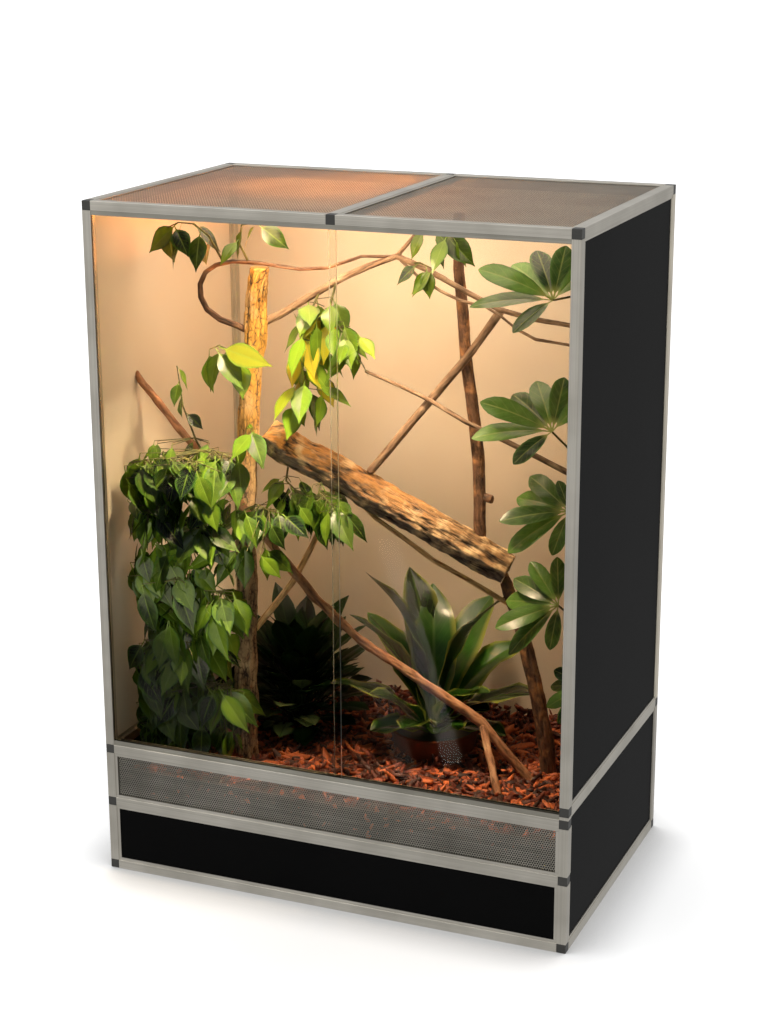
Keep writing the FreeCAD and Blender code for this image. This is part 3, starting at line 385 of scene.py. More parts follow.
@dataclass(frozen=True)
class BarkChip(Finish):
    """Chipped pine bark: dry red-brown flakes, each of its own tone, with a fibrous broken face."""

    dark: str = "#100604"
    mid: str = "#6E2C17"
    light: str = "#CC6C39"
    fibre_mm: float = 3.0

    def paint(self, tree: Tree, shader: bpy.types.Node) -> None:
        """Colours each chip by its tone, with fibres.

        Args:
            tree: The node tree.
            shader: Its Principled node.
        """
        tone = add(tree, "Attribute", attribute_name="tone").outputs["Fac"]
        spot = add(tree, "TexCoord").outputs["Object"]
        fibre = add(tree, "TexNoise", {"Vector": spot, "Scale": 1 / (self.fibre_mm * MM), "Detail": 4.0})
        shade = add(tree, "Math", {0: fibre, 1: 0.5, 2: tone}, operation="MULTIPLY_ADD")
        low = add(tree, "MapRange", {"Value": shade, "From Min": 0.2, "From Max": 0.7})
        high = add(tree, "MapRange", {"Value": shade, "From Min": 0.7, "From Max": 1.25})
        brown = add(tree, "Mix", {0: low, 6: linear(self.dark), 7: linear(self.mid)}, data_type="RGBA")
        tint = add(tree, "Mix", {0: high, 6: brown, 7: linear(self.light)}, data_type="RGBA")
        bump = add(tree, "Bump", {"Strength": 0.6, "Distance": 0.6 * MM, "Height": fibre})
        wire(tree, shader, {"Base Color": tint, "Roughness": 0.58, "Normal": bump, "Specular IOR Level": 0.5})


@dataclass(frozen=True)
class BackdropPaper(Finish):
    """Matt white paper, lit from behind: shadows on it stay faint, but for the one close to the case."""

    white: str = "#FFFFFF"
    glow: float = 0.34
    contact: float = 0.1  # metres that the close shadow reaches

    def paint(self, tree: Tree, shader: bpy.types.Node) -> None:
        """Sets a matt white that gives a little light, and darkens beside what stands on it.

        Args:
            tree: The node tree.
            shader: Its Principled node.
        """
        near = add(
            tree, "AmbientOcclusion", {"Color": linear(self.white), "Distance": self.contact}, samples=16
        ).outputs["Color"]
        wire(tree, shader, {
            "Base Color": near, "Roughness": 0.9, "Specular IOR Level": 0.1, "Emission Color": near,
            "Emission Strength": self.glow,
        })


# Tube as drawn from the die and anodised: a soft grey sheen that runs along each length.
TUBES = {
    axis: ExtrudedAluminium(f"anodised_aluminium_along_{axis.name}", "frame_aluminium", axis) for axis in Axis
}
# The same tube on the rear posts, matt and paler: the pale colour is painted lamp light, the warm light that
# falls on them in the case.
LAMP_LIT_TUBE = ExtrudedAluminium(
    "anodised_aluminium_lamp_lit", "frame_aluminium", Axis.Z, "#E6E0D2", "#D2CCBE", rough=(0.72, 0.84)
)
# Channel from the same metal, painted a shade darker: painted shade of the frame's lee, where it lies.
SHADED_TRACK = ExtrudedAluminium("anodised_aluminium_track_shaded", "track_aluminium", Axis.X, "#A9A599", "#8F8B80")
# Rolled sheet, punched: dull grey bars between dark holes.
SHEET_METAL = ExtrudedAluminium(
    "perforated_aluminium_rolled", "perforated_aluminium", Axis.X, "#A8A398", "#8C887D", line_mm=6.0
)
# Woven wire: a grey veil that glows over the lamps.
GAUZE = LitGauze("aluminium_gauze_woven", "perforated_aluminium", Axis.X, "#8E897C", "#736F65", line_mm=6.0)
# Moulded nylon: near black, with a dull even shine.
CONNECTOR = GrainedSurface("nylon_moulded_black", "connector_plastic", "#3B3A36", "#2C2B28")
# Pressed laminate: deep black that mirrors next to nothing.
PANEL = GrainedSurface(
    "laminate_pressed_black", "black_panel", "#0B0B0B", "#070707", grain_mm=1.2, rough=(0.42, 0.52),
    specular=0.022, relief_mm=0.03,
)
# Sheet of foamed PVC: cream and matt, and it spreads the lamp's light.
LINER = GrainedSurface(
    "pvc_sheet_cream", "pale_liner", "#EBDFCE", "#E0D0BA", grain_mm=2.5, rough=(0.6, 0.75), specular=0.3,
    relief_mm=0.04,
)
# Moulded polypropylene: black and dull.
TRAY = GrainedSurface("polypropylene_moulded_black", "tray_plastic", "#1B1A19", "#131211")
# Float glass, fire-polished: clear, with sharp reflections.
GLASS = FloatGlass("float_glass_polished", "door_glass")
# Pine bark through a chipper: red-brown flakes from near black to orange.
CHIPS = BarkChip("pine_bark_chipped", "bark")
# Crumbled pine bark, the ground between the flakes: its near black is painted shade in the gaps between them.
BED = BarkChip("pine_bark_crumbled", "bark", "#0C0503", "#220D07", "#48200F", fibre_mm=9.0)
# Loose potting soil: almost black crumbs.
SOIL = BarkChip("potting_soil_loose", "soil", "#0B0705", "#1E130C", "#3A281A", fibre_mm=4.0)
# Fired red clay: matt, with a slight grit.
CLAY = GrainedSurface(
    "terracotta_fired", "terracotta", "#733620", "#562719", grain_mm=2.0, rough=(0.75, 0.9), specular=0.25,
    relief_mm=0.2,
)
# Weathered trunk: grey-brown plates below, bare golden wood above, its gold partly painted light of the lamp
# over the trunk's top.
TRUNK_BARK = TreeBark(
    "tree_trunk_weathered", "trunk_wood", "#2C1B10", "#9A7E5C", "#C4A67C", fibre_mm=2.0, relief_mm=1.2,
    upper_tint="#E2A850", upper_z=(0.62, 0.85), stretch=2.0, crack=0.4,
)
# Stripped cork bark: pale worn ridges over dark pits, orange at its high end and grey below.
CORK_BARK = TreeBark(
    "cork_bark_stripped", "cork", "#20140C", "#96744E", "#E6C79A", patch_mm=26.0, relief_mm=1.4,
    upper_tint="#D08F48", upper_z=(0.6, 0.74), stretch=8.0, plate_mm=5.0, crack=0.34, under="#83766A",
)
# Dry branch with its bark on: grey-brown and slightly ridged.
BRANCH_BARK = TreeBark("branch_bark_dry", "branch_wood", "#3B2A1E", "#8A6F58", "#AF957B", crack=0.12)
# Smooth young bark: red-brown with a soft light.
SMOOTH_BARK = TreeBark(
    "branch_bark_smooth", "branch_wood", "#4A2E20", "#A87654", "#C79C78", fibre_mm=1.8, relief_mm=0.4,
    stretch=3.0, crack=0.1,
)
# Peeled twig: pale tan wood, painted paler still as light on it where the log shades it.
PALE_BARK = TreeBark("branch_bark_pale", "branch_wood", "#6A4A2C", "#DCB47C", "#EDCB98", crack=0.12)
# Dry creeper stem: dark brown with cracks.
CREEPER_BARK = TreeBark("creeper_bark_dry", "branch_wood", "#20140D", "#6A4C38", "#927258", crack=0.2)
# Flaking bark: dark brown with orange where flakes came off.
FLAKED_BARK = TreeBark(
    "branch_bark_flaked", "branch_wood", "#2A1910", "#6F503B", "#B27E50", patch_mm=22.0, relief_mm=0.9,
    stretch=2.4, crack=0.2,
)
# Green twig: olive skin.
TWIG_BARK = TreeBark("twig_bark_green", "ficus_leaf", "#241E0E", "#4A4A20", "#66602C", patch_mm=20.0)
# Weeping fig leaf, waxy: bright green and lit through, with painted lamp light: yellow on leaves near the lamp.
FICUS = LeafBlade(
    "fig_leaf_waxy", "ficus_leaf", "#0E220A", "#6E8E22", "#CDB62A", "#7E9A3E", "#385C1A", through=0.42,
    gloss=0.26,
)
# Umbrella plant leaf, waxy: mid green with a pale rib and a broad shine.
UMBRELLA = LeafBlade(
    "umbrella_leaf_waxy", "umbrella_leaf", "#12340A", "#74A24A", "#AFC088", "#A9B86A", "#557C38", veins=7.0,
    through=0.44, gloss=0.24,
)
# Strap leaf of the pot plant, waxy: deep green with a yellow margin.
BROAD = LeafBlade(
    "broad_leaf_waxy", "broad_leaf", "#081804", "#33601C", "#7C9A3C", "#5F8038", "#8E943E", veins=14.0,
    through=0.26, gloss=0.22,
)
# Leaf of the low ground plant: dark green painted near black, as painted shade of the low spot it grows in;
# little shine.
SHADE_LEAF = LeafBlade(
    "shade_leaf_waxy", "dark_leaf", "#040A03", "#1A3810", "#B4C87C", "#2A4018", "#16300E", through=0.2,
    gloss=0.4, stalk_end=0.6, specular=0.2,
)
# Backdrop paper: white without an edge.
PAPER = BackdropPaper("backdrop_paper_white", "none")


@dataclass
class Shell:
    """Points, faces and point values that become one mesh."""

    points: list[Vector] = field(default_factory=list)
    faces: list[Face] = field(default_factory=list)
    values: dict[str, list[float]] = field(default_factory=dict)
    grain: list[float] = field(default_factory=list)

    def take(self, points: Iterable[Vector], faces: Iterable[Face], **values: Iterable[float]) -> None:
        """Adds a piece.

        Args:
            points: Its points.
            faces: Its faces, numbered from its own first point.
            values: For each named value, one number per point.
        """
        first = len(self.points)
        self.points.extend(points)
        self.faces.extend(tuple(first + i for i in face) for face in faces)
        for key, numbers in values.items():
            self.values.setdefault(key, []).extend(numbers)

    def piece(
        self, name: str, finish: Finish, *replaced: str, smooth: bool = True, body: str = CASE
    ) -> bpy.types.Object:
        """Makes the object, on its body.

        Args:
            name: The piece's name.
            finish: Its finish.
            replaced: CAD nodes that it stands for.
            smooth: Whether its faces are shaded smooth.
            body: The CAD body that it rides on.

        Returns:
            The new object.
        """
        mesh = bpy.data.meshes.new(name)
        mesh.from_pydata([tuple(p) for p in self.points], [], self.faces)
        for key, numbers in self.values.items():
            mesh.attributes.new(key, "FLOAT", "POINT").data.foreach_set("value", numbers)
        if self.grain:
            mesh.attributes.new("grain", "FLOAT_VECTOR", "POINT").data.foreach_set("vector", self.grain)
        mesh.polygons.foreach_set("use_smooth", [smooth] * len(mesh.polygons))
        mesh.materials.append(finish.material())
        mesh.update()
        obj = bpy.data.objects.new(name, mesh)
        bpy.context.scene.collection.objects.link(obj)
        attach(obj, body)
        if replaced:
            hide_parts(*replaced)
        LOG.info("%s: %d faces", name, len(self.faces))
        return obj


def dress(finish: Finish, *nodes: str) -> None:
    """Gives CAD nodes a finish.

    Args:
        finish: The finish.
        nodes: Names of the nodes.
    """
    for name in nodes:
        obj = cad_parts[name]
        obj.data.materials.clear()
        obj.data.materials.append(finish.material())
        LOG.info("%s: %s", name, finish.name)


def solids_of(node: str) -> list[tuple[np.ndarray, list[Face]]]:
    """Splits a CAD node into its separate closed pieces.

    Args:
        node: The node's name.

    Returns:
        For each piece its points and its faces.
    """
    grid = bmesh.new()
    grid.from_mesh(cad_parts[node].data)
    bmesh.ops.remove_doubles(grid, verts=grid.verts, dist=0.01 * MM)
    seen: set[int] = set()
    found = []
    for start in grid.verts:
        if start.index in seen:
            continue
        todo, members = [start], []
        seen.add(start.index)
        while todo:
            vert = todo.pop()
            members.append(vert)
            for edge in vert.link_edges:
                other = edge.other_vert(vert)
                if other.index not in seen:
                    seen.add(other.index)
                    todo.append(other)
        number = {v: i for i, v in enumerate(members)}
        ordered = sorted({f for v in members for f in v.link_faces}, key=lambda f: f.index)
        faces = [tuple(number[v] for v in f.verts) for f in ordered]
        found.append((np.array([v.co for v in members]), faces))
    grid.free()
    return found


def dense_copy(points: np.ndarray, faces: list[Face], cell: float, rounds: int) -> bpy.types.Mesh:
    """Rebuilds a closed piece as an even dense mesh with its edges rounded.

    Args:
        points: The piece's points.
        faces: Its faces.
        cell: Size of the new mesh's cells.
        rounds: Rounds of smoothing.

    Returns:
        The new mesh.
    """
    rough = bpy.data.meshes.new("rough")
    rough.from_pydata(points.tolist(), [], faces)
    holder = bpy.data.objects.new("rough", rough)
    bpy.context.scene.collection.objects.link(holder)
    remesh = holder.modifiers.new("even", "REMESH")
    remesh.mode = "VOXEL"
    remesh.voxel_size = cell
    smooth = holder.modifiers.new("round", "SMOOTH")
    smooth.factor = 0.5
    smooth.iterations = rounds
    graph = bpy.context.evaluated_depsgraph_get()
    dense = bpy.data.meshes.new_from_object(holder.evaluated_get(graph))
    bpy.data.objects.remove(holder)
    bpy.data.meshes.remove(rough)
    return dense


FEWEST_PLACES = 6  # on a stick's middle line
MIDDLE_ROUNDS = 3  # rounds that smooth it
CAD_LINE = 0.7  # height of the ridges, from 0 to 1, at which the bark lies on its CAD stick
SWELL = (-0.4, 0.8)  # how far a knot sinks in and stands out, as shares of its height
KNOT_RIDGES = 4  # widths of a ridge in the width of a knot
RIDGE_NOISE = (0.9, 2.1, 3)  # roughness, step in scale and number of layers of the bark's ridges


@dataclass(frozen=True)
class Course:
    """Where each point of a stick lies along and around it."""

    along: np.ndarray
    outward: np.ndarray
    turn: np.ndarray
    reach: np.ndarray
    length: float


def steps_from(start: int, total: int, edges: np.ndarray) -> np.ndarray:
    """Counts the edges from one point of a mesh to each other point.

    Args:
        start: The point's number.
        total: How many points there are.
        edges: The mesh's edges, as pairs of point numbers.

    Returns:
        Each point's count, or -1 where no edges lead to it.
    """
    count = np.full(total, -1)
    count[start] = 0
    level = 0
    while True:
        there = count == level
        ends = np.concatenate([edges[there[edges[:, 0]], 1], edges[there[edges[:, 1]], 0]])
        ends = ends[count[ends] < 0]
        if not len(ends):
            return count
        level += 1
        count[ends] = level


def course_of(points: np.ndarray, edges: np.ndarray, step: float) -> Course:
    """Finds a stick's middle line from its mesh, whatever way it bends.

    Args:
        points: The mesh's points.
        edges: Its edges, as pairs of point numbers.
        step: Length of mesh between two places on the middle line.

    Returns:
        The course of the stick.
    """
    spread = points - points.mean(0)
    axis = np.linalg.svd(spread, full_matrices=False)[2][0]
    far = steps_from(int(np.argmax(spread @ axis)), len(points), edges)
    count = steps_from(int(np.argmax(far)), len(points), edges).clip(0)
    bins = max(FEWEST_PLACES, int(count.max() / step))
    place = count / (count.max() + 1) * bins
    number = place.astype(int)
    sums = np.zeros((bins, 3))
    np.add.at(sums, number, points)
    middle = sums / np.bincount(number, minlength=bins).clip(1)[:, None]
    for _ in range(MIDDLE_ROUNDS):
        middle[1:-1] = (middle[:-2] + 2 * middle[1:-1] + middle[2:]) / 4
    ways = np.gradient(middle, axis=0)
    ways /= np.linalg.norm(ways, axis=1)[:, None].clip(1e-9)
    sides = np.zeros_like(ways)
    side = np.cross(ways[0], (0.3, 0.9, 0.2))  # from a way that no stick starts along
    for i, way in enumerate(ways):
        side = side - way * (side @ way)
        side /= np.linalg.norm(side)
        sides[i] = side
    marks = np.concatenate([[0], np.cumsum(np.linalg.norm(np.diff(middle, axis=0), axis=1))])
    spot = np.clip(place - 0.5, 0, bins - 1)
    low = np.floor(spot).astype(int).clip(0, bins - 2)
    share = (spot - low)[:, None]
    centre = middle[low] * (1 - share) + middle[low + 1] * share
    rest = points - centre
    way = ways[number]
    beyond = np.einsum("ij,ij->i", rest, way)
    rest = rest - way * beyond[:, None]
    reach = np.linalg.norm(rest, axis=1).clip(1e-6)
    outward = rest / reach[:, None]
    other = np.cross(way, sides[number])
    turn = np.arctan2(np.einsum("ij,ij->i", rest, other), np.einsum("ij,ij->i", rest, sides[number]))
    along = marks[low] + share[:, 0] * (marks[low + 1] - marks[low]) + beyond
    return Course(along, outward, turn, reach, float(marks[-1]))


@dataclass(frozen=True)
class Stick:
    """How the wood of one CAD node is carved. Sizes are in mm."""

    node: str
    finish: Finish
    cell: float = 1.6
    ridge_wide: float = 4.0
    ridge_long: float = 28.0
    depth: float = 0.8
    knot_every: float = 70.0
    knot: float = 1.2
    ragged: float = 0.0

    def carve(self, shell: Shell, mesh: bpy.types.Mesh, start: float) -> None:
        """Cuts bark ridges and knots into a dense mesh.

        Args:
            shell: Takes the result.
            mesh: The dense mesh.
            start: A number of the piece's own, so that two pieces differ.
        """
        points = np.empty(len(mesh.vertices) * 3, np.float32)
        mesh.vertices.foreach_get("co", points)
        points = points.reshape(-1, 3).astype(float)
        edges = np.empty(len(mesh.edges) * 2, np.int32)
        mesh.edges.foreach_get("vertices", edges)
        course = course_of(points, edges.reshape(-1, 2), step=4.0)
        radius = float(np.median(course.reach))
        wide, long = self.ridge_wide * MM, self.ridge_long * MM
        round_x = np.cos(course.turn) * radius / wide
        round_y = np.sin(course.turn) * radius / wide
        ridge = np.array([
            noise.fractal((x, y, a / long + start), *RIDGE_NOISE)
            for x, y, a in zip(round_x, round_y, course.along)
        ])
        swell = np.array([
            noise.noise((x / KNOT_RIDGES, y / KNOT_RIDGES, a / (self.knot_every * MM) + start))
            for x, y, a in zip(round_x, round_y, course.along)
        ])
        height = np.clip(0.5 + 0.6 * ridge, 0, 1)
        push = (height - CAD_LINE) * self.depth * MM + np.clip(swell, *SWELL) * self.knot * MM
        moved = points + course.outward * push[:, None]
        if self.ragged:
            near_end = np.minimum(course.along, course.length - course.along)
            torn = np.clip(1 - near_end / (self.ragged * 2 * MM), 0, 1) * np.clip(ridge + 0.25, 0, 1)
            moved -= course.outward * (torn * self.ragged * 0.5 * MM)[:, None]
        shell.take(
            [Vector(p) for p in moved], [tuple(f.vertices) for f in mesh.polygons], ridge=height.tolist()
        )
        grain = np.stack([round_x * wide, round_y * wide, course.along + start], axis=1)
        shell.grain += grain.ravel().tolist()

    def build(self) -> None:
        """Carves each piece of the node and stands it in the node's place."""
        shell = Shell()
        for i, (points, faces) in enumerate(solids_of(self.node)):
            mesh = dense_copy(points, faces, self.cell * MM, rounds=6)
            self.carve(shell, mesh, start=7.3 * i)
            bpy.data.meshes.remove(mesh)
        shell.piece(self.node + "_carved", self.finish, self.node)


@dataclass
class Woodwork:
    """Trunk, log and branches, carved from their CAD sticks."""

    # Each row: node, finish, cell, ridges' width, length and depth, knots' distance and height, ragged ends.
    sticks: Sequence[Stick] = (
        Stick("trunk", TRUNK_BARK, 1.8, 6.0, 40.0, 4.6, 64.0, 5.0, 10.0),
        Stick("cork_log", CORK_BARK, 2.2, 12.0, 30.0, 6.0, 80.0, 4.0, 16.0),
        Stick("right_stem", FLAKED_BARK, 1.6, 6.0, 30.0, 2.4, 60.0, 2.6, 6.0),
        Stick("upright_branch", FLAKED_BARK, 1.6, 5.0, 26.0, 1.4, 60.0, 1.6),
        Stick("leaning_stick", BRANCH_BARK, 1.4, 3.5, 34.0, 0.7, 70.0, 0.8),
        Stick("thin_branch", BRANCH_BARK, 1.2, 3.0, 26.0, 0.5, 50.0, 0.7),
        Stick("long_branch", SMOOTH_BARK, 1.5, 4.0, 24.0, 1.4, 26.0, 2.4),
        Stick("low_branches", PALE_BARK, 1.2, 3.0, 26.0, 0.6, 50.0, 0.8),
        Stick("creeper_loop", CREEPER_BARK, 1.1, 3.0, 24.0, 0.6, 45.0, 0.8),
        Stick("top_branch", BRANCH_BARK, 1.2, 3.0, 26.0, 0.6, 50.0, 0.9),
    )

    def build(self) -> None:
        """Builds each stick."""
        for stick in self.sticks:
            stick.build()


@dataclass(frozen=True)
class LeafForm:
    """A leaf's outline and the way its blade lies."""

    outline: Sequence[tuple[float, float]]  # share of the length from the root, and share of the width there
    fold: float  # rise of the edges over the midrib, as a share of half the width
    ripple: float  # waves of the edge, as a share of half the width
    waves: float


FIG_FORM = LeafForm(
    ((0, 0.04), (0.1, 0.05), (0.17, 0.08), (0.23, 0.42), (0.32, 0.8), (0.43, 1.0), (0.55, 0.96), (0.66, 0.8),
     (0.76, 0.56), (0.85, 0.3), (0.92, 0.13), (1, 0.02)),
    0.22, 0.07, 2.0,
)
UMBRELLA_FORM = LeafForm(
    ((0, 0.07), (0.12, 0.09), (0.2, 0.36), (0.32, 0.68), (0.46, 0.9), (0.6, 1.0), (0.74, 0.98), (0.85, 0.82),
     (0.93, 0.52), (0.98, 0.22), (1, 0.04)),
    0.18, 0.05, 1.5,
)
BROAD_FORM = LeafForm(
    ((0, 0.2), (0.09, 0.24), (0.18, 0.42), (0.27, 0.76), (0.37, 1.05), (0.48, 1.2), (0.6, 1.2), (0.71, 1.12),
     (0.81, 0.95), (0.89, 0.7), (0.95, 0.38), (1, 0.03)),
    0.34, 0.16, 2.4,
)
STALKED_FORM = LeafForm(
    ((0, 0.05), (0.3, 0.05), (0.6, 0.06), (0.64, 0.45), (0.69, 0.82), (0.75, 1.0), (0.82, 0.95), (0.88, 0.77),
     (0.93, 0.5), (0.97, 0.22), (1, 0.03)),
    0.22, 0.08, 5.0,
)


RINGS, CORNERS = 5, 4  # of a leaf's CAD solid
LEAF_THICK = 1.2 * MM  # at most
# Points across a leaf, as shares of half its width.
COLUMNS = (-1.0, -0.72, -0.4, -0.1, 0.0, 0.1, 0.4, 0.72, 1.0)


@dataclass(frozen=True)
class Blade:
    """One CAD leaf: its middle line, the way across it, its upper side and its width."""

    spots: np.ndarray  # five places from root to tip
    shares: Sequence[float]  # of the length, at those places
    side: np.ndarray
    upper: np.ndarray
    width: float

    @classmethod
    def read(cls, points: np.ndarray) -> "Blade | None":
        """Reads a leaf from the points of its CAD solid.

        Args:
            points: The solid's points.

        Returns:
            The leaf, or None for a solid that isn't a leaf: five flat rings of four points.
        """
        if len(points) != RINGS * CORNERS:
            return None
        spread = points - points.mean(0)
        axis = np.linalg.svd(spread, full_matrices=False)[2][0]
        rings = points[np.argsort(spread @ axis)].reshape(RINGS, CORNERS, 3)
        gaps = np.linalg.norm(rings[:, :, None] - rings[:, None, :], axis=3)
        thin = np.sort(gaps.reshape(RINGS, -1), axis=1)[:, CORNERS]  # the first few are points to themselves
        if np.median(thin) > LEAF_THICK:
            return None
        widths = gaps.reshape(RINGS, -1).max(1)
        if widths[1] > widths[3]:
            rings, widths = rings[::-1], widths[::-1]
        centres = rings.mean(1)
        marks = np.concatenate([[0], np.cumsum(np.linalg.norm(np.diff(centres, axis=0), axis=1))])
        widest = int(np.argmax(widths[:4]))
        side = np.linalg.svd(rings[widest] - centres[widest], full_matrices=False)[2][0]
        upper = np.cross(centres[4] - centres[0], side)
        upper /= np.linalg.norm(upper)
        if (2 * centres[2] - centres[0] - centres[4]) @ upper < 0:
            upper = -upper
        return cls(centres, tuple(marks / marks[4]), side, upper, float(widths.max()))

    def at(self, share: float) -> np.ndarray:
        """Finds a place on the middle line.

        Args:
            share: Share of the length from the root.

        Returns:
            The point there, on a smooth curve through the five places.
        """
        slopes = np.gradient(self.spots, self.shares, axis=0)
        i = min(int(np.searchsorted(self.shares, share, "right")) - 1, 3)
        run = self.shares[i + 1] - self.shares[i]
        t = (share - self.shares[i]) / run
        return (
            self.spots[i] * (1 + 2 * t) * (1 - t) ** 2 + slopes[i] * run * t * (1 - t) ** 2
            + self.spots[i + 1] * t * t * (3 - 2 * t) + slopes[i + 1] * run * t * t * (t - 1)
        )

    def beside(self, turn: float, droop: float, size: float, shift: Vector) -> "Blade":
        """Makes a leaf that grows near this one's root another way.

        Args:
            turn: Turn about the upright through the root.
            droop: Turn about the leaf's own way across.
            size: Share of this leaf's size.
            shift: From this leaf's root to the other's.

        Returns:
            The other leaf.
        """
        across = Matrix.Rotation(turn, 3, "Z") @ Vector(self.side)
        spin = Matrix.Rotation(droop, 3, across) @ Matrix.Rotation(turn, 3, "Z")
        root = Vector(self.spots[0]) + shift
        spots = [root + spin @ Vector((spot - self.spots[0]) * size) for spot in self.spots]
        upper = np.array(spin @ Vector(self.upper))
        return Blade(np.array(spots), self.shares, np.array(across), upper, self.width * size)

    def grow(self, shell: Shell, form: LeafForm, tone: float, chance: random.Random) -> None:
        """Adds the curved blade to a shell.

        Args:
            shell: Takes the blade.
            form: The leaf's form.
            tone: The leaf's tone from 0 to 1: random, and high where painted lamp light turns it yellow.
            chance: Source of small differences between leaves.
        """
        phase, twist = chance.uniform(0, TURN), chance.uniform(-0.25, 0.25)
        points, across, span = [], [], []
        for share, part in form.outline:
            half = self.width * part / 2
            way = self.at(min(share + 0.02, 1)) - self.at(max(share - 0.02, 0))
            upper = np.cross(way, self.side)
            upper *= math.copysign(1, upper @ self.upper) / np.linalg.norm(upper)
            turned = self.side * math.cos(twist * share) + upper * math.sin(twist * share)
            raised = upper * math.cos(twist * share) - self.side * math.sin(twist * share)
            for x in COLUMNS:
                lag = 1.3 if x > 0 else 0  # so that the two edges don't wave alike
                wave = form.ripple * math.sin(form.waves * TURN * share + phase + lag) * x * x
                lift = half * (form.fold * (abs(x) - 0.45 * x * x) + wave)
                points.append(Vector(self.at(share) + turned * (half * x) + raised * lift))
                across.append(abs(x))
                span.append(share)
        wide = len(COLUMNS)
        faces = [
            (r * wide + c, r * wide + c + 1, (r + 1) * wide + c + 1, (r + 1) * wide + c)
            for r in range(len(form.outline) - 1)
            for c in range(wide - 1)
        ]
        shell.take(points, faces, across=across, span=span, tone=[tone] * len(points))


@dataclass(frozen=True)
class Thicket:
    """A dense part of a plant: each leaf with its root in this box has others beside it."""

    low: Spot
    high: Spot
    leaves: int
    lean: Spot = (0.0, 0.0, 0.0)  # added to the way from the root to each other leaf

    def holds(self, root: np.ndarray) -> bool:
        """Tells whether a root is in the box.

        Args:
            root: The root's place.

        Returns:
            Whether it is inside.
        """
        return bool(np.all(root >= self.low) and np.all(root <= self.high))


STALK_RADIUS = 0.9 * MM


@dataclass
class Plant:
    """One CAD plant: its leaves grow on their CAD blades, and its stems are rounded."""

    node: str
    leaf: LeafBlade
    form: LeafForm
    thickets: Sequence[Thicket] = ()
    stalk: float = 0.0  # longest stalk of a side leaf
    stalk_rise: tuple[float, float] = (-0.5, 0.1)
    side_size: tuple[float, float] = (0.6, 0.95)
    side_turn: tuple[float, float] = (0.4, 1.5)  # of a side leaf from the other leaf's way, in radians
    side_droop: float = 0.4
    lit_spot: Spot = (0.0, 0.0, 9.0)  # leaves near it are painted yellow, as the lamp's light on them
    lit_reach: float = 0.26
    stem: Finish = TWIG_BARK
    stem_cell_mm: float = 0.9
    low: Spot = (-0.384, -0.227, 0.165)
    high: Spot = (0.384, 0.234, 1.1)

    def fits(self, blade: Blade) -> bool:
        """Tells whether a leaf stays in the planting space.

        Args:
            blade: The leaf.

        Returns:
            Whether all of it is inside.
        """
        half = np.abs(blade.side) * blade.width / 2
        return bool(
            np.all(blade.spots.min(0) - half > self.low) and np.all(blade.spots.max(0) + half < self.high)
        )

    def tone(self, blade: Blade, chance: random.Random) -> float:
        """Picks a leaf's tone.

        Args:
            blade: The leaf.
            chance: Source of the choice.

        Returns:
            A tone from 0 to 1: random, and raised near the lit place as painted lamp light.
        """
        near = 1 - np.linalg.norm(blade.spots[2] - np.array(self.lit_spot)) / self.lit_reach
        return float(np.clip(chance.random() * 0.8 + max(near, 0) * 0.7, 0, 1))

    def add_stem(self, stems: Shell, points: list[Vector], faces: list[Face]) -> None:
        """Adds a stem with its bark values.

        Args:
            stems: Takes the stem.
            points: The stem's points.
            faces: Its faces.
        """
        stems.take(points, faces, ridge=[0.55 + 0.4 * noise.noise(p * 160) for p in points])
        for point in points:
            stems.grain.extend(point)

    def add_side_leaf(
        self, leaves: Shell, stems: Shell, blade: Blade, lean: Sequence[float], chance: random.Random
    ) -> bool:
        """Grows one more leaf on a short stalk from another leaf's root.

        Args:
            leaves: Takes the leaf.
            stems: Takes its stalk.
            blade: The other leaf.
            lean: Added to the stalk's way.
            chance: Source of its place and form.

        Returns:
            Whether there was room for it.
        """
        way = chance.uniform(0, 2 * math.pi)
        reach = chance.uniform(0.3, 1.0) * self.stalk
        rise = chance.uniform(*self.stalk_rise)
        shift = Vector((math.cos(way), math.sin(way), rise)) * reach + Vector(lean)
        other = blade.beside(
            chance.choice((-1, 1)) * chance.uniform(*self.side_turn),
            chance.uniform(-self.side_droop, self.side_droop), chance.uniform(*self.side_size), shift,
        )
        if not self.fits(other):
            return False
        other.grow(leaves, self.form, self.tone(other, chance) * 0.9, chance)
        if self.stalk:
            root = Vector(blade.spots[0])
            along = shift.normalized()
            one = along.orthogonal().normalized() * STALK_RADIUS
            two = along.cross(one)
            ring = [one, two, -one, -two]
            points = [root + p for p in ring] + [root + shift + p * 0.8 for p in ring]
            self.add_stem(stems, points, [(i, (i + 1) % 4, 4 + (i + 1) % 4, 4 + i) for i in range(4)])
        return True

    def build(self) -> None:
        """Builds the leaves and stems."""
        chance = random.Random(SEED + len(self.node))
        leaves, stems = Shell(), Shell()
        count = 0
        for points, faces in solids_of(self.node):
            blade = Blade.read(points)
            if blade:
                blade.grow(leaves, self.form, self.tone(blade, chance), chance)
                count += 1
                for thicket in self.thickets:
                    more = thicket.leaves if thicket.holds(blade.spots[0]) else 0
                    count += sum(
                        self.add_side_leaf(leaves, stems, blade, thicket.lean, chance) for _ in range(more)
                    )
            else:
                mesh = dense_copy(points, faces, self.stem_cell_mm * MM, rounds=5)
                self.add_stem(
                    stems, [v.co.copy() for v in mesh.vertices], [tuple(f.vertices) for f in mesh.polygons]
                )
                bpy.data.meshes.remove(mesh)
        leaves.piece(self.node + "_leaves", self.leaf, self.node)
        if stems.points:
            stems.piece(self.node + "_stems", self.stem)
        LOG.info("%s has %d leaves", self.node, count)


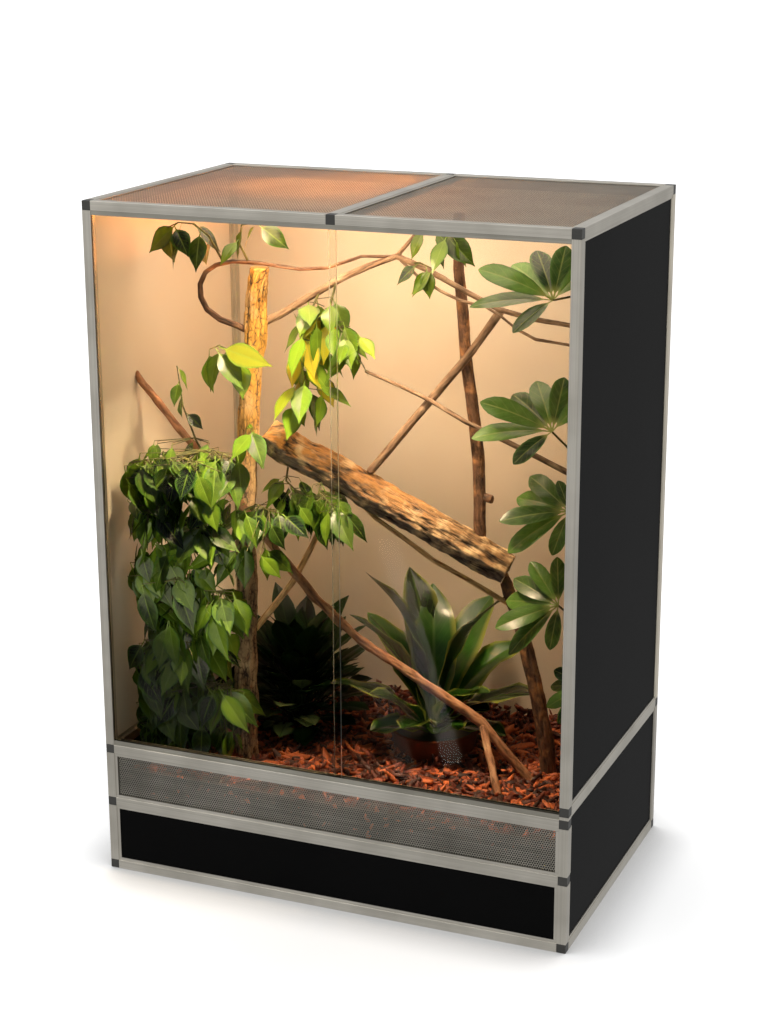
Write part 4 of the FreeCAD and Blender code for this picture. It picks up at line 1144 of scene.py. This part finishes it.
@dataclass
class BarkMulch:
    """Loose chips over the bark bed and at its front, where the vent strip shows them."""

    count: int = 4600
    front_count: int = 520
    longest: float = 48 * MM
    shortest: float = 15 * MM
    slender: tuple[float, float] = (0.13, 0.32)  # width of a chip against its length
    thick: tuple[float, float] = (3 * MM, 6 * MM)
    margin: float = 12 * MM
    heap: float = 9 * MM
    heaps: float = 14.0  # to a metre
    tilts: tuple[float, float] = (0.42, 0.34)  # usual tilt of a chip about its length and its width, in radians
    pile: float = 52 * MM  # height of the crumbs against the left and back walls
    pile_width: float = 60 * MM
    pile_count: int = 2200
    pile_tilts: tuple[float, float] = (0.35, 0.3)
    mounds: float = 9.0  # of the pile, to a metre
    front_tilt: float = 0.16
    crumb: float = 0.5  # size of a crumb against a chip, and its tone against a chip's
    corners: Sequence[tuple[float, float]] = (
        (-0.5, -0.2), (-0.28, -0.5), (0.2, -0.46), (0.5, -0.12), (0.42, 0.3), (0.05, 0.5), (-0.36, 0.36),
    )  # of a chip, as shares of its length and width

    def chip(self, shell: Shell, place: Matrix, chance: random.Random, share: float = 1.0) -> None:
        """Adds one bent, broken-edged flake.

        Args:
            shell: Takes the flake.
            place: Where it lies.
            chance: Source of its form.
            share: Its size and tone against a whole chip's.
        """
        length = chance.uniform(self.shortest, self.longest) * share
        width = length * chance.uniform(*self.slender)
        thick = chance.uniform(*self.thick)
        bend = chance.uniform(-0.22, 0.3) * length
        outline = [
            (length * (x + chance.uniform(-0.09, 0.09)), width * (y + chance.uniform(-0.12, 0.12)))
            for x, y in self.corners
        ]
        top = [Vector((x, y, thick / 2 - bend * (2 * x / length) ** 2)) for x, y in outline]
        low = [p * 0.94 - Vector((0, 0, thick)) for p in top]
        number = len(top)
        crown = Vector((0, 0, thick * 0.75))
        points = [place @ p for p in [*top, *low, crown]]
        faces: list[Face] = [(i, (i + 1) % number, 2 * number) for i in range(number)]
        faces += [
            ((i + 1) % number, i, number + i, number + (i + 1) % number) for i in range(number)
        ]
        faces.append(tuple(number + i for i in reversed(range(number))))
        shell.take(points, faces, tone=[chance.random() ** 1.5 * share] * len(points))

    def lay(self, spot: Spot, tilts: tuple[float, float], chance: random.Random) -> Matrix:
        """Turns a flake as it fell.

        Args:
            spot: Where it lies.
            tilts: Usual tilt about its length and about its width.
            chance: Source of the turns.

        Returns:
            The flake's place.
        """
        tilt = Matrix.Rotation(chance.gauss(0, tilts[0]), 4, "X")
        tilt = tilt @ Matrix.Rotation(chance.gauss(0, tilts[1]), 4, "Y")
        spin = Matrix.Rotation(chance.uniform(0, TURN), 4, "Z")
        return Matrix.Translation(spot) @ spin @ tilt

    def cover(self, shell: Shell, low: Vector, high: Vector, chance: random.Random) -> None:
        """Scatters chips over the bed, in low heaps.

        Args:
            shell: Takes the chips.
            low: Low corner of the bed.
            high: Its high corner.
            chance: Source of their places.
        """
        for _ in range(self.count):
            x = chance.uniform(low.x + self.margin, high.x - self.margin)
            y = chance.uniform(low.y + self.margin * 1.6, high.y - self.margin)
            heap = self.heap * (0.5 + noise.noise((x * self.heaps, y * self.heaps, 3.0)))
            self.chip(shell, self.lay((x, y, high.z + heap), self.tilts, chance), chance)

    def bank(self, shell: Shell, low: Vector, high: Vector, chance: random.Random) -> None:
        """Piles crumbs against the left and back walls.

        Args:
            shell: Takes the crumbs.
            low: Low corner of the bed.
            high: Its high corner.
            chance: Source of their places.
        """
        for _ in range(self.pile_count):
            back_off = abs(chance.gauss(0, 0.5)) * self.pile_width + self.longest / 2
            along = chance.uniform(0, 1)
            x, y = chance.choice((
                (low.x + back_off, low.y + 0.06 + along * (high.y - low.y - 0.09)),
                (low.x + 0.04 + along * (high.x - low.x - 0.08), high.y - back_off),
            ))
            near = 1 - (back_off - self.longest / 2) / self.pile_width
            mound = 0.7 + 0.5 * noise.noise((x * self.mounds, y * self.mounds, 0))
            rise = chance.random() * max(near, 0) * self.pile * mound
            self.chip(shell, self.lay((x, y, high.z + rise), self.pile_tilts, chance), chance, self.crumb)

    def front(self, shell: Shell, low: Vector, high: Vector, chance: random.Random) -> None:
        """Stands chips at the front of the bed, behind the vent strip.

        Args:
            shell: Takes the chips.
            low: Low corner of the bed.
            high: Its high corner.
            chance: Source of their places.
        """
        upright = Matrix.Rotation(math.pi / 2, 4, "X")
        tray_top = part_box("substrate_tray")[1].z
        for _ in range(self.front_count):
            spot = Matrix.Translation((
                chance.uniform(low.x + self.longest / 2, high.x - self.longest / 2), low.y + 7 * MM,
                chance.uniform(tray_top + 8 * MM, high.z - 4 * MM),
            ))
            tilt = Matrix.Rotation(chance.gauss(0, self.front_tilt), 4, "X")
            spin = Matrix.Rotation(chance.uniform(0, TURN), 4, "Z")
            self.chip(shell, spot @ upright @ spin @ tilt, chance)

    def build(self) -> None:
        """Scatters the chips and dresses the bed under them."""
        chance = random.Random(SEED)
        low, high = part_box("bark_bed")
        shell = Shell()
        for place in (self.cover, self.bank, self.front):
            place(shell, low, high, chance)
        shell.piece("bark_chips", CHIPS)
        dress(BED, "bark_bed")


@dataclass
class PerforatedSheet:
    """A thin sheet with close rows of staggered round-cornered holes, drawn hole by hole."""

    node: str
    normal: Axis
    pitch: float = 4.4 * MM  # the real one is near 3.3; drawn coarser, so that the holes show
    bar: float = 2.9 * MM
    thick: bool = False
    finish: Finish = GAUZE

    def build(self) -> None:
        """Lays a net of six-sided cells over the CAD sheet, each with its hole."""
        low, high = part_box(self.node)
        flat = [axis for axis in range(3) if axis != self.normal.value]
        size = [high[axis] - low[axis] for axis in flat]
        thick = high[self.normal.value] - low[self.normal.value]
        row_step = self.pitch * math.sqrt(3) / 2
        outer, inner = self.pitch / math.sqrt(3), (self.pitch - self.bar) / math.sqrt(3)
        turns = [math.pi / 6 + k * math.pi / 3 for k in range(6)]
        columns = int((size[0] - self.pitch * 1.5) / self.pitch)
        rows = int((size[1] - 2 * outer) / row_step) + 1
        first = (size[0] - (columns - 0.5) * self.pitch) / 2, (size[1] - (rows - 1) * row_step) / 2
        grid = bmesh.new()
        known: dict[tuple[int, int], bmesh.types.BMVert] = {}

        def corner(u: float, v: float) -> bmesh.types.BMVert:
            """Finds or makes the shared point at a place on the sheet.

            Args:
                u: Place along the sheet's first edge.
                v: Place along its second edge.

            Returns:
                The point.
            """
            key = (round(u * 1e5), round(v * 1e5))
            if key not in known:
                spot = [0.0, 0.0, 0.0]
                spot[flat[0]], spot[flat[1]] = low[flat[0]] + u, low[flat[1]] + v
                spot[self.normal.value] = high[self.normal.value]
                known[key] = grid.verts.new(spot)
            return known[key]

        for row in range(rows):
            for column in range(columns):
                u = first[0] + (column + 0.5 * (row % 2)) * self.pitch
                v = first[1] + row * row_step
                rim = [corner(u + outer * math.cos(a), v + outer * math.sin(a)) for a in turns]
                hole = [corner(u + inner * math.cos(a), v + inner * math.sin(a)) for a in turns]
                for i in range(6):
                    j = (i + 1) % 6
                    grid.faces.new((rim[i], rim[j], hole[j], hole[i]))
        bmesh.ops.recalc_face_normals(grid, faces=grid.faces)
        shell = Shell()
        grid.verts.index_update()
        shell.take([v.co.copy() for v in grid.verts], [tuple(v.index for v in f.verts) for f in grid.faces])
        grid.free()
        obj = shell.piece(self.node + "_net", self.finish, self.node, smooth=False)
        if self.thick:
            solid = obj.modifiers.new("thickness", "SOLIDIFY")
            solid.thickness = thick
            solid.offset = -1.0


@dataclass
class Case:
    """The tube frame, its connectors, panels and sheets."""

    posts: Sequence[str] = (
        "front_left_post", "front_right_post", "lower_posts", "vent_posts", "post_spacer",
    )
    rear_posts: Sequence[str] = ("rear_left_post", "rear_right_post")
    cross_rails: Sequence[str] = (
        "sill_rail", "vent_rail", "base_long_rails", "front_top_rails", "rear_top_rails",
    )
    deep_rails: Sequence[str] = (
        "left_side_rail", "right_side_rail", "base_side_rails", "side_top_rails", "top_cross_rail",
    )
    connectors: Sequence[str] = (
        "base_corner_connectors", "top_corner_connectors", "top_tee_connectors", "vent_tee_connectors",
        "sill_connectors", "side_rail_connectors",
    )
    panels: Sequence[str] = (
        "left_upper_panel", "left_lower_panel", "right_upper_panel", "right_lower_panel", "back_panel",
        "plinth_panel", "floor_panel",
    )
    liners: Sequence[str] = ("left_liner", "right_liner", "back_liner")
    sheets: Sequence[PerforatedSheet] = (
        PerforatedSheet("top_mesh_left", Axis.Z),
        PerforatedSheet("top_mesh_right", Axis.Z),
        PerforatedSheet("vent_mesh", Axis.Y, 4.0 * MM, 1.15 * MM, thick=True, finish=SHEET_METAL),
    )

    def dress(self) -> None:
        """Gives the CAD pieces their finishes."""
        dress(TUBES[Axis.Z], *self.posts)
        # rear posts: the paler tube, painted lamp light
        dress(LAMP_LIT_TUBE, *self.rear_posts)
        dress(TUBES[Axis.X], *self.cross_rails)
        dress(TUBES[Axis.Y], *self.deep_rails)
        dress(CONNECTOR, *self.connectors)
        dress(PANEL, *self.panels)
        dress(LINER, *self.liners)
        dress(TRAY, "substrate_tray")
        # the tracks: the darker tube, painted shade
        dress(SHADED_TRACK, "lower_track", "upper_track")
        dress(GLASS, "left_glass_door", "right_glass_door")
        dress(CLAY, "plant_pot")
        dress(SOIL, "pot_soil")

    def build(self) -> None:
        """Builds the perforated sheets."""
        for sheet in self.sheets:
            sheet.build()


def hang(data: bpy.types.Light, spot: Sequence[float], watts: float, tint: str) -> bpy.types.Object:
    """Hangs a light, with no body for the camera to see.

    Args:
        data: The light.
        spot: Where it hangs.
        watts: Its power.
        tint: Its colour.

    Returns:
        The light's object.
    """
    data.energy = watts
    data.color = linear(tint)[:3]
    obj = bpy.data.objects.new(data.name, data)
    obj.location = spot
    obj.visible_camera = obj.visible_transmission = False
    bpy.context.scene.collection.objects.link(obj)
    return obj


@dataclass
class Bulb:
    """A warm bulb in the case, which shines all ways."""

    name: str
    spot: Sequence[float]
    radius: float
    watts: float
    tint: str

    def build(self) -> None:
        """Hangs the bulb."""
        data = bpy.data.lights.new(self.name, "POINT")
        data.shadow_soft_size = self.radius
        hang(data, self.spot, self.watts, self.tint)


@dataclass
class Softbox:
    """An area light."""

    name: str
    spot: Sequence[float]
    aim: Sequence[float]
    size: tuple[float, float]
    watts: float
    tint: str = "#FFFFFF"
    beam: float = 180.0  # angle of the cone of light, in degrees
    glossy_only: bool = False  # shows as sheen and lights no matt surface

    def build(self) -> None:
        """Hangs the light and points it."""
        data = bpy.data.lights.new(self.name, "AREA")
        data.shape = "RECTANGLE"
        data.size, data.size_y = self.size
        data.spread = math.radians(self.beam)
        obj = hang(data, self.spot, self.watts, self.tint)
        obj.rotation_mode = "QUATERNION"
        obj.rotation_quaternion = (Vector(self.aim) - Vector(self.spot)).to_track_quat("-Z", "Y")
        obj.visible_diffuse = not self.glossy_only


@dataclass(frozen=True)
class LitCard(Finish):
    """A bright white card of the studio, seen only as a streak in the glass."""

    strength: float = 1.0
    tint: str = "#FFF3E6"

    def paint(self, tree: Tree, shader: bpy.types.Node) -> None:
        """Gives off an even, slightly warm light, to rays that a smooth surface mirrors.

        Args:
            tree: The node tree.
            shader: Its Principled node; not used, as the light stands in for it.
        """
        sharp = add(tree, "LightPath").outputs["Is Singular Ray"]
        power = add(tree, "Math", {0: sharp, 1: self.strength}, operation="MULTIPLY")
        light = add(tree, "Emission", {"Color": linear(self.tint), "Strength": power})
        wire(tree, tree.nodes["Material Output"], {"Surface": light})


@dataclass
class Streak:
    """A card placed so that the doors mirror it into the camera as a slanting streak."""

    name: str
    corners: Sequence[tuple[float, float]]  # metres across and up on the doors
    strength: float
    card_y: float = -2.2
    door_y: float = -0.2455

    def build(self, eye: Vector) -> None:
        """Hangs the card.

        Args:
            eye: The camera's place.
        """
        points = []
        for x, z in self.corners:
            spot = Vector((x, self.door_y, z))
            ray = spot - eye
            ray.y = -ray.y
            points.append(tuple(spot + ray * ((self.card_y - self.door_y) / ray.y)))
        mesh = bpy.data.meshes.new(self.name)
        mesh.from_pydata(points, [], [tuple(range(len(points)))])
        mesh.materials.append(LitCard("lit_card_" + self.name, "none", self.strength).material())
        card = bpy.data.objects.new(self.name, mesh)
        card.visible_camera = card.visible_diffuse = card.visible_shadow = False
        bpy.context.scene.collection.objects.link(card)


@dataclass
class PhotoStudio:
    """White paper, soft light, a warm lamp in the case, and the camera."""

    azimuth: float = 22.77
    elevation: float = 16.529
    roll: float = -0.254
    distance: float = 3.4081
    target: Sequence[float] = (-0.00723, 0.0, 0.59687)
    lens: float = 73.146
    paper_half: float = 9.0  # half the paper's width
    paper_run: tuple[float, float] = (-3.0, 2.2)  # where the paper starts, and where it bends up
    paper_bend: float = 1.6  # radius
    paper_top: float = 9.0
    sky: tuple[float, float] = (0.62, 0.8)  # strength of the light from low and from high
    lamps: Sequence[Softbox | Bulb] = (
        Softbox("softbox_left", (-2.6, -1.6, 2.6), (0, 0, 0.5), (1.6, 1.6), 10.0),
        Softbox("softbox_top", (-0.2, 0.2, 3.6), (0, 0, 0.5), (2.6, 2.2), 10.0),
        Softbox("leaf_sheen", (-1.4, -2.6, 2.4), (-0.1, 0, 0.6), (0.5, 0.5), 18.0, glossy_only=True),
        Softbox("lamp_ceiling", (0.0, 0.0, 1.108), (0.0, 0.0, 0.0), (0.56, 0.36), 2.5, "#FFDEBE"),
        Softbox("wall_lamp", (-0.02, -0.19, 1.1), (-0.02, 0.23, 0.66), (0.3, 0.04), 0.6, "#FFD6AC", 80.0),
        Softbox("front_fill", (0.0, -0.225, 0.82), (0.0, 0.2, 0.74), (0.66, 0.3), 0.5, "#FFDCB8", 130.0),
        Softbox("lamp_reflector", (0.04, -0.19, 1.1), (0.06, -0.13, 0.2), (0.08, 0.06), 1.7, "#FFDAB2", 62.0),
        Softbox("bush_lamp", (-0.04, -0.205, 1.1), (-0.29, -0.16, 0.45), (0.06, 0.04), 2.6, "#FFDEB4", 55.0),
        Softbox("bush_fill", (-0.25, -0.228, 0.46), (-0.29, 0.0, 0.4), (0.2, 0.42), 0.32, "#FFEFD8", 140.0),
        Bulb("heat_lamp", (-0.13, -0.18, 1.05), 0.035, 0.6, "#FFCF9C"),
        Softbox("glow_lamp", (-0.154, 0.03, 1.04), (-0.154, 0.03, 1.2), (0.1, 0.08), 2.3, "#FF9834"),
        Softbox("mesh_lamp", (-0.19, 0.0, 1.0), (-0.19, 0.0, 1.2), (0.3, 0.3), 0.9, "#FF9448"),
    )
    streaks: Sequence[Streak] = (
        Streak("streak_pot", ((0.082, 0.635), (0.12, 0.63), (0.226, 0.29), (0.194, 0.275)), 10.0),
    )

    def backdrop(self) -> None:
        """Bends a sheet of paper from the floor up behind the case."""
        shell = Shell()
        bend, start = self.paper_bend, self.paper_run[1]
        profile = [(y, 0.0) for y in self.paper_run]
        profile += [(start + bend * math.sin(a), bend - bend * math.cos(a)) for a in np.linspace(0.1, 1.57, 16)]
        profile += [(start + bend, self.paper_top)]
        for y, z in profile:
            shell.points += [Vector((-self.paper_half, y, z)), Vector((self.paper_half, y, z))]
        shell.faces = [(2 * i, 2 * i + 1, 2 * i + 3, 2 * i + 2) for i in range(len(profile) - 1)]
        mesh = bpy.data.meshes.new("paper")
        mesh.from_pydata([tuple(p) for p in shell.points], [], shell.faces)
        mesh.polygons.foreach_set("use_smooth", [True] * len(mesh.polygons))
        mesh.materials.append(PAPER.material())
        paper = bpy.data.objects.new("paper", mesh)
        bpy.context.scene.collection.objects.link(paper)
        paper.visible_glossy = paper.visible_transmission = False

    def camera(self) -> None:
        """Sets the camera at the photograph's viewing angle."""
        a, e, r = (math.radians(v) for v in (self.azimuth, self.elevation, self.roll))
        right = Vector((math.cos(a), math.sin(a), 0))
        back = Vector((math.sin(a) * math.cos(e), -math.cos(a) * math.cos(e), math.sin(e)))
        up = back.cross(right)
        right, up = right * math.cos(r) + up * math.sin(r), up * math.cos(r) - right * math.sin(r)
        data = bpy.data.cameras.new("camera")
        data.lens, data.sensor_width = self.lens, 36.0
        data.clip_start, data.clip_end = 0.05, 60.0
        obj = bpy.data.objects.new("camera", data)
        obj.matrix_world = Matrix.Translation(Vector(self.target) + back * self.distance) @ Matrix((
            (right.x, up.x, back.x, 0), (right.y, up.y, back.y, 0), (right.z, up.z, back.z, 0), (0, 0, 0, 1),
        ))
        bpy.context.scene.collection.objects.link(obj)
        bpy.context.scene.camera = obj
        for streak in self.streaks:
            streak.build(obj.matrix_world.translation)

    def world(self) -> None:
        """Gives light from all round, which the camera sees as white and smooth surfaces don't mirror."""
        world = bpy.data.worlds.new("studio")
        world.use_nodes = True
        tree = world.node_tree
        way = add(tree, "SeparateXYZ", {0: add(tree, "TexCoord").outputs["Generated"]}).outputs["Z"]
        rise = add(tree, "MapRange", {
            "Value": way, "From Min": -0.3, "From Max": 0.7, "To Min": self.sky[0], "To Max": self.sky[1],
        })
        path = add(tree, "LightPath").outputs
        mirrored = add(
            tree, "Math", {0: path["Is Singular Ray"], 1: path["Is Transmission Ray"]},
            operation="SUBTRACT", use_clamp=True,
        )
        seen = add(tree, "Math", {0: 1.0, 1: mirrored}, operation="SUBTRACT")
        power = add(tree, "Math", {0: rise, 1: seen}, operation="MULTIPLY")
        white = add(tree, "Math", {0: power, 1: path["Is Camera Ray"]}, operation="MAXIMUM")
        wire(tree, tree.nodes["Background"], {"Color": linear("#FFFFFF"), "Strength": white})
        bpy.context.scene.world = world

    def build(self) -> None:
        """Sets up paper, light and camera."""
        self.backdrop()
        for lamp in self.lamps:
            lamp.build()
        self.world()
        bpy.context.scene.view_settings.view_transform = "Standard"
        self.camera()


def main() -> None:
    """Builds and dresses the terrarium, then the studio round it."""
    logging.basicConfig(level=logging.INFO, format="%(name)s %(message)s", force=True)
    case = Case()
    case.dress()
    case.build()
    Woodwork().build()
    BarkMulch().build()
    low_bush = Thicket((-0.4, -0.3, 0.0), (-0.15, 0.3, 0.5), 5)
    top_bush = Thicket((-0.4, -0.3, 0.5), (0.0, 0.3, 0.74), 3)
    left_edge = Thicket((-0.4, -0.3, 0.0), (-0.24, -0.04, 0.74), 5, (-0.05, -0.04, 0.0))
    hanging = Thicket((-0.34, -0.3, 0.0), (-0.13, 0.3, 0.72), 3, (0.0, -0.02, -0.055))
    trunk_twigs = Thicket((-0.14, -0.3, 0.76), (0.04, 0.3, 1.0), 2)
    # lit_spot paints the lamp's light on the fig: yellow leaves near the lamp.
    Plant(
        "ficus", FICUS, FIG_FORM, (low_bush, top_bush, left_edge, hanging, trunk_twigs), stalk=36 * MM,
        side_size=(0.7, 1.05), lit_spot=(-0.12, -0.12, 0.88), lit_reach=0.18,
    ).build()
    Plant("umbrella_plant", UMBRELLA, UMBRELLA_FORM).build()
    Plant("potted_plant", BROAD, BROAD_FORM).build()
    whole = Thicket((-0.4, -0.3, 0.0), (0.4, 0.3, 1.0), 6)
    # The ground plant's near black leaves are painted shade; lit_spot paints lamp yellow on a few.
    Plant(
        "ground_plant", SHADE_LEAF, STALKED_FORM, (whole,), side_size=(0.5, 0.95),
        lit_spot=(-0.16, -0.05, 0.24), lit_reach=0.09,
    ).build()
    PhotoStudio().build()


if __name__ == "__main__":
    main()
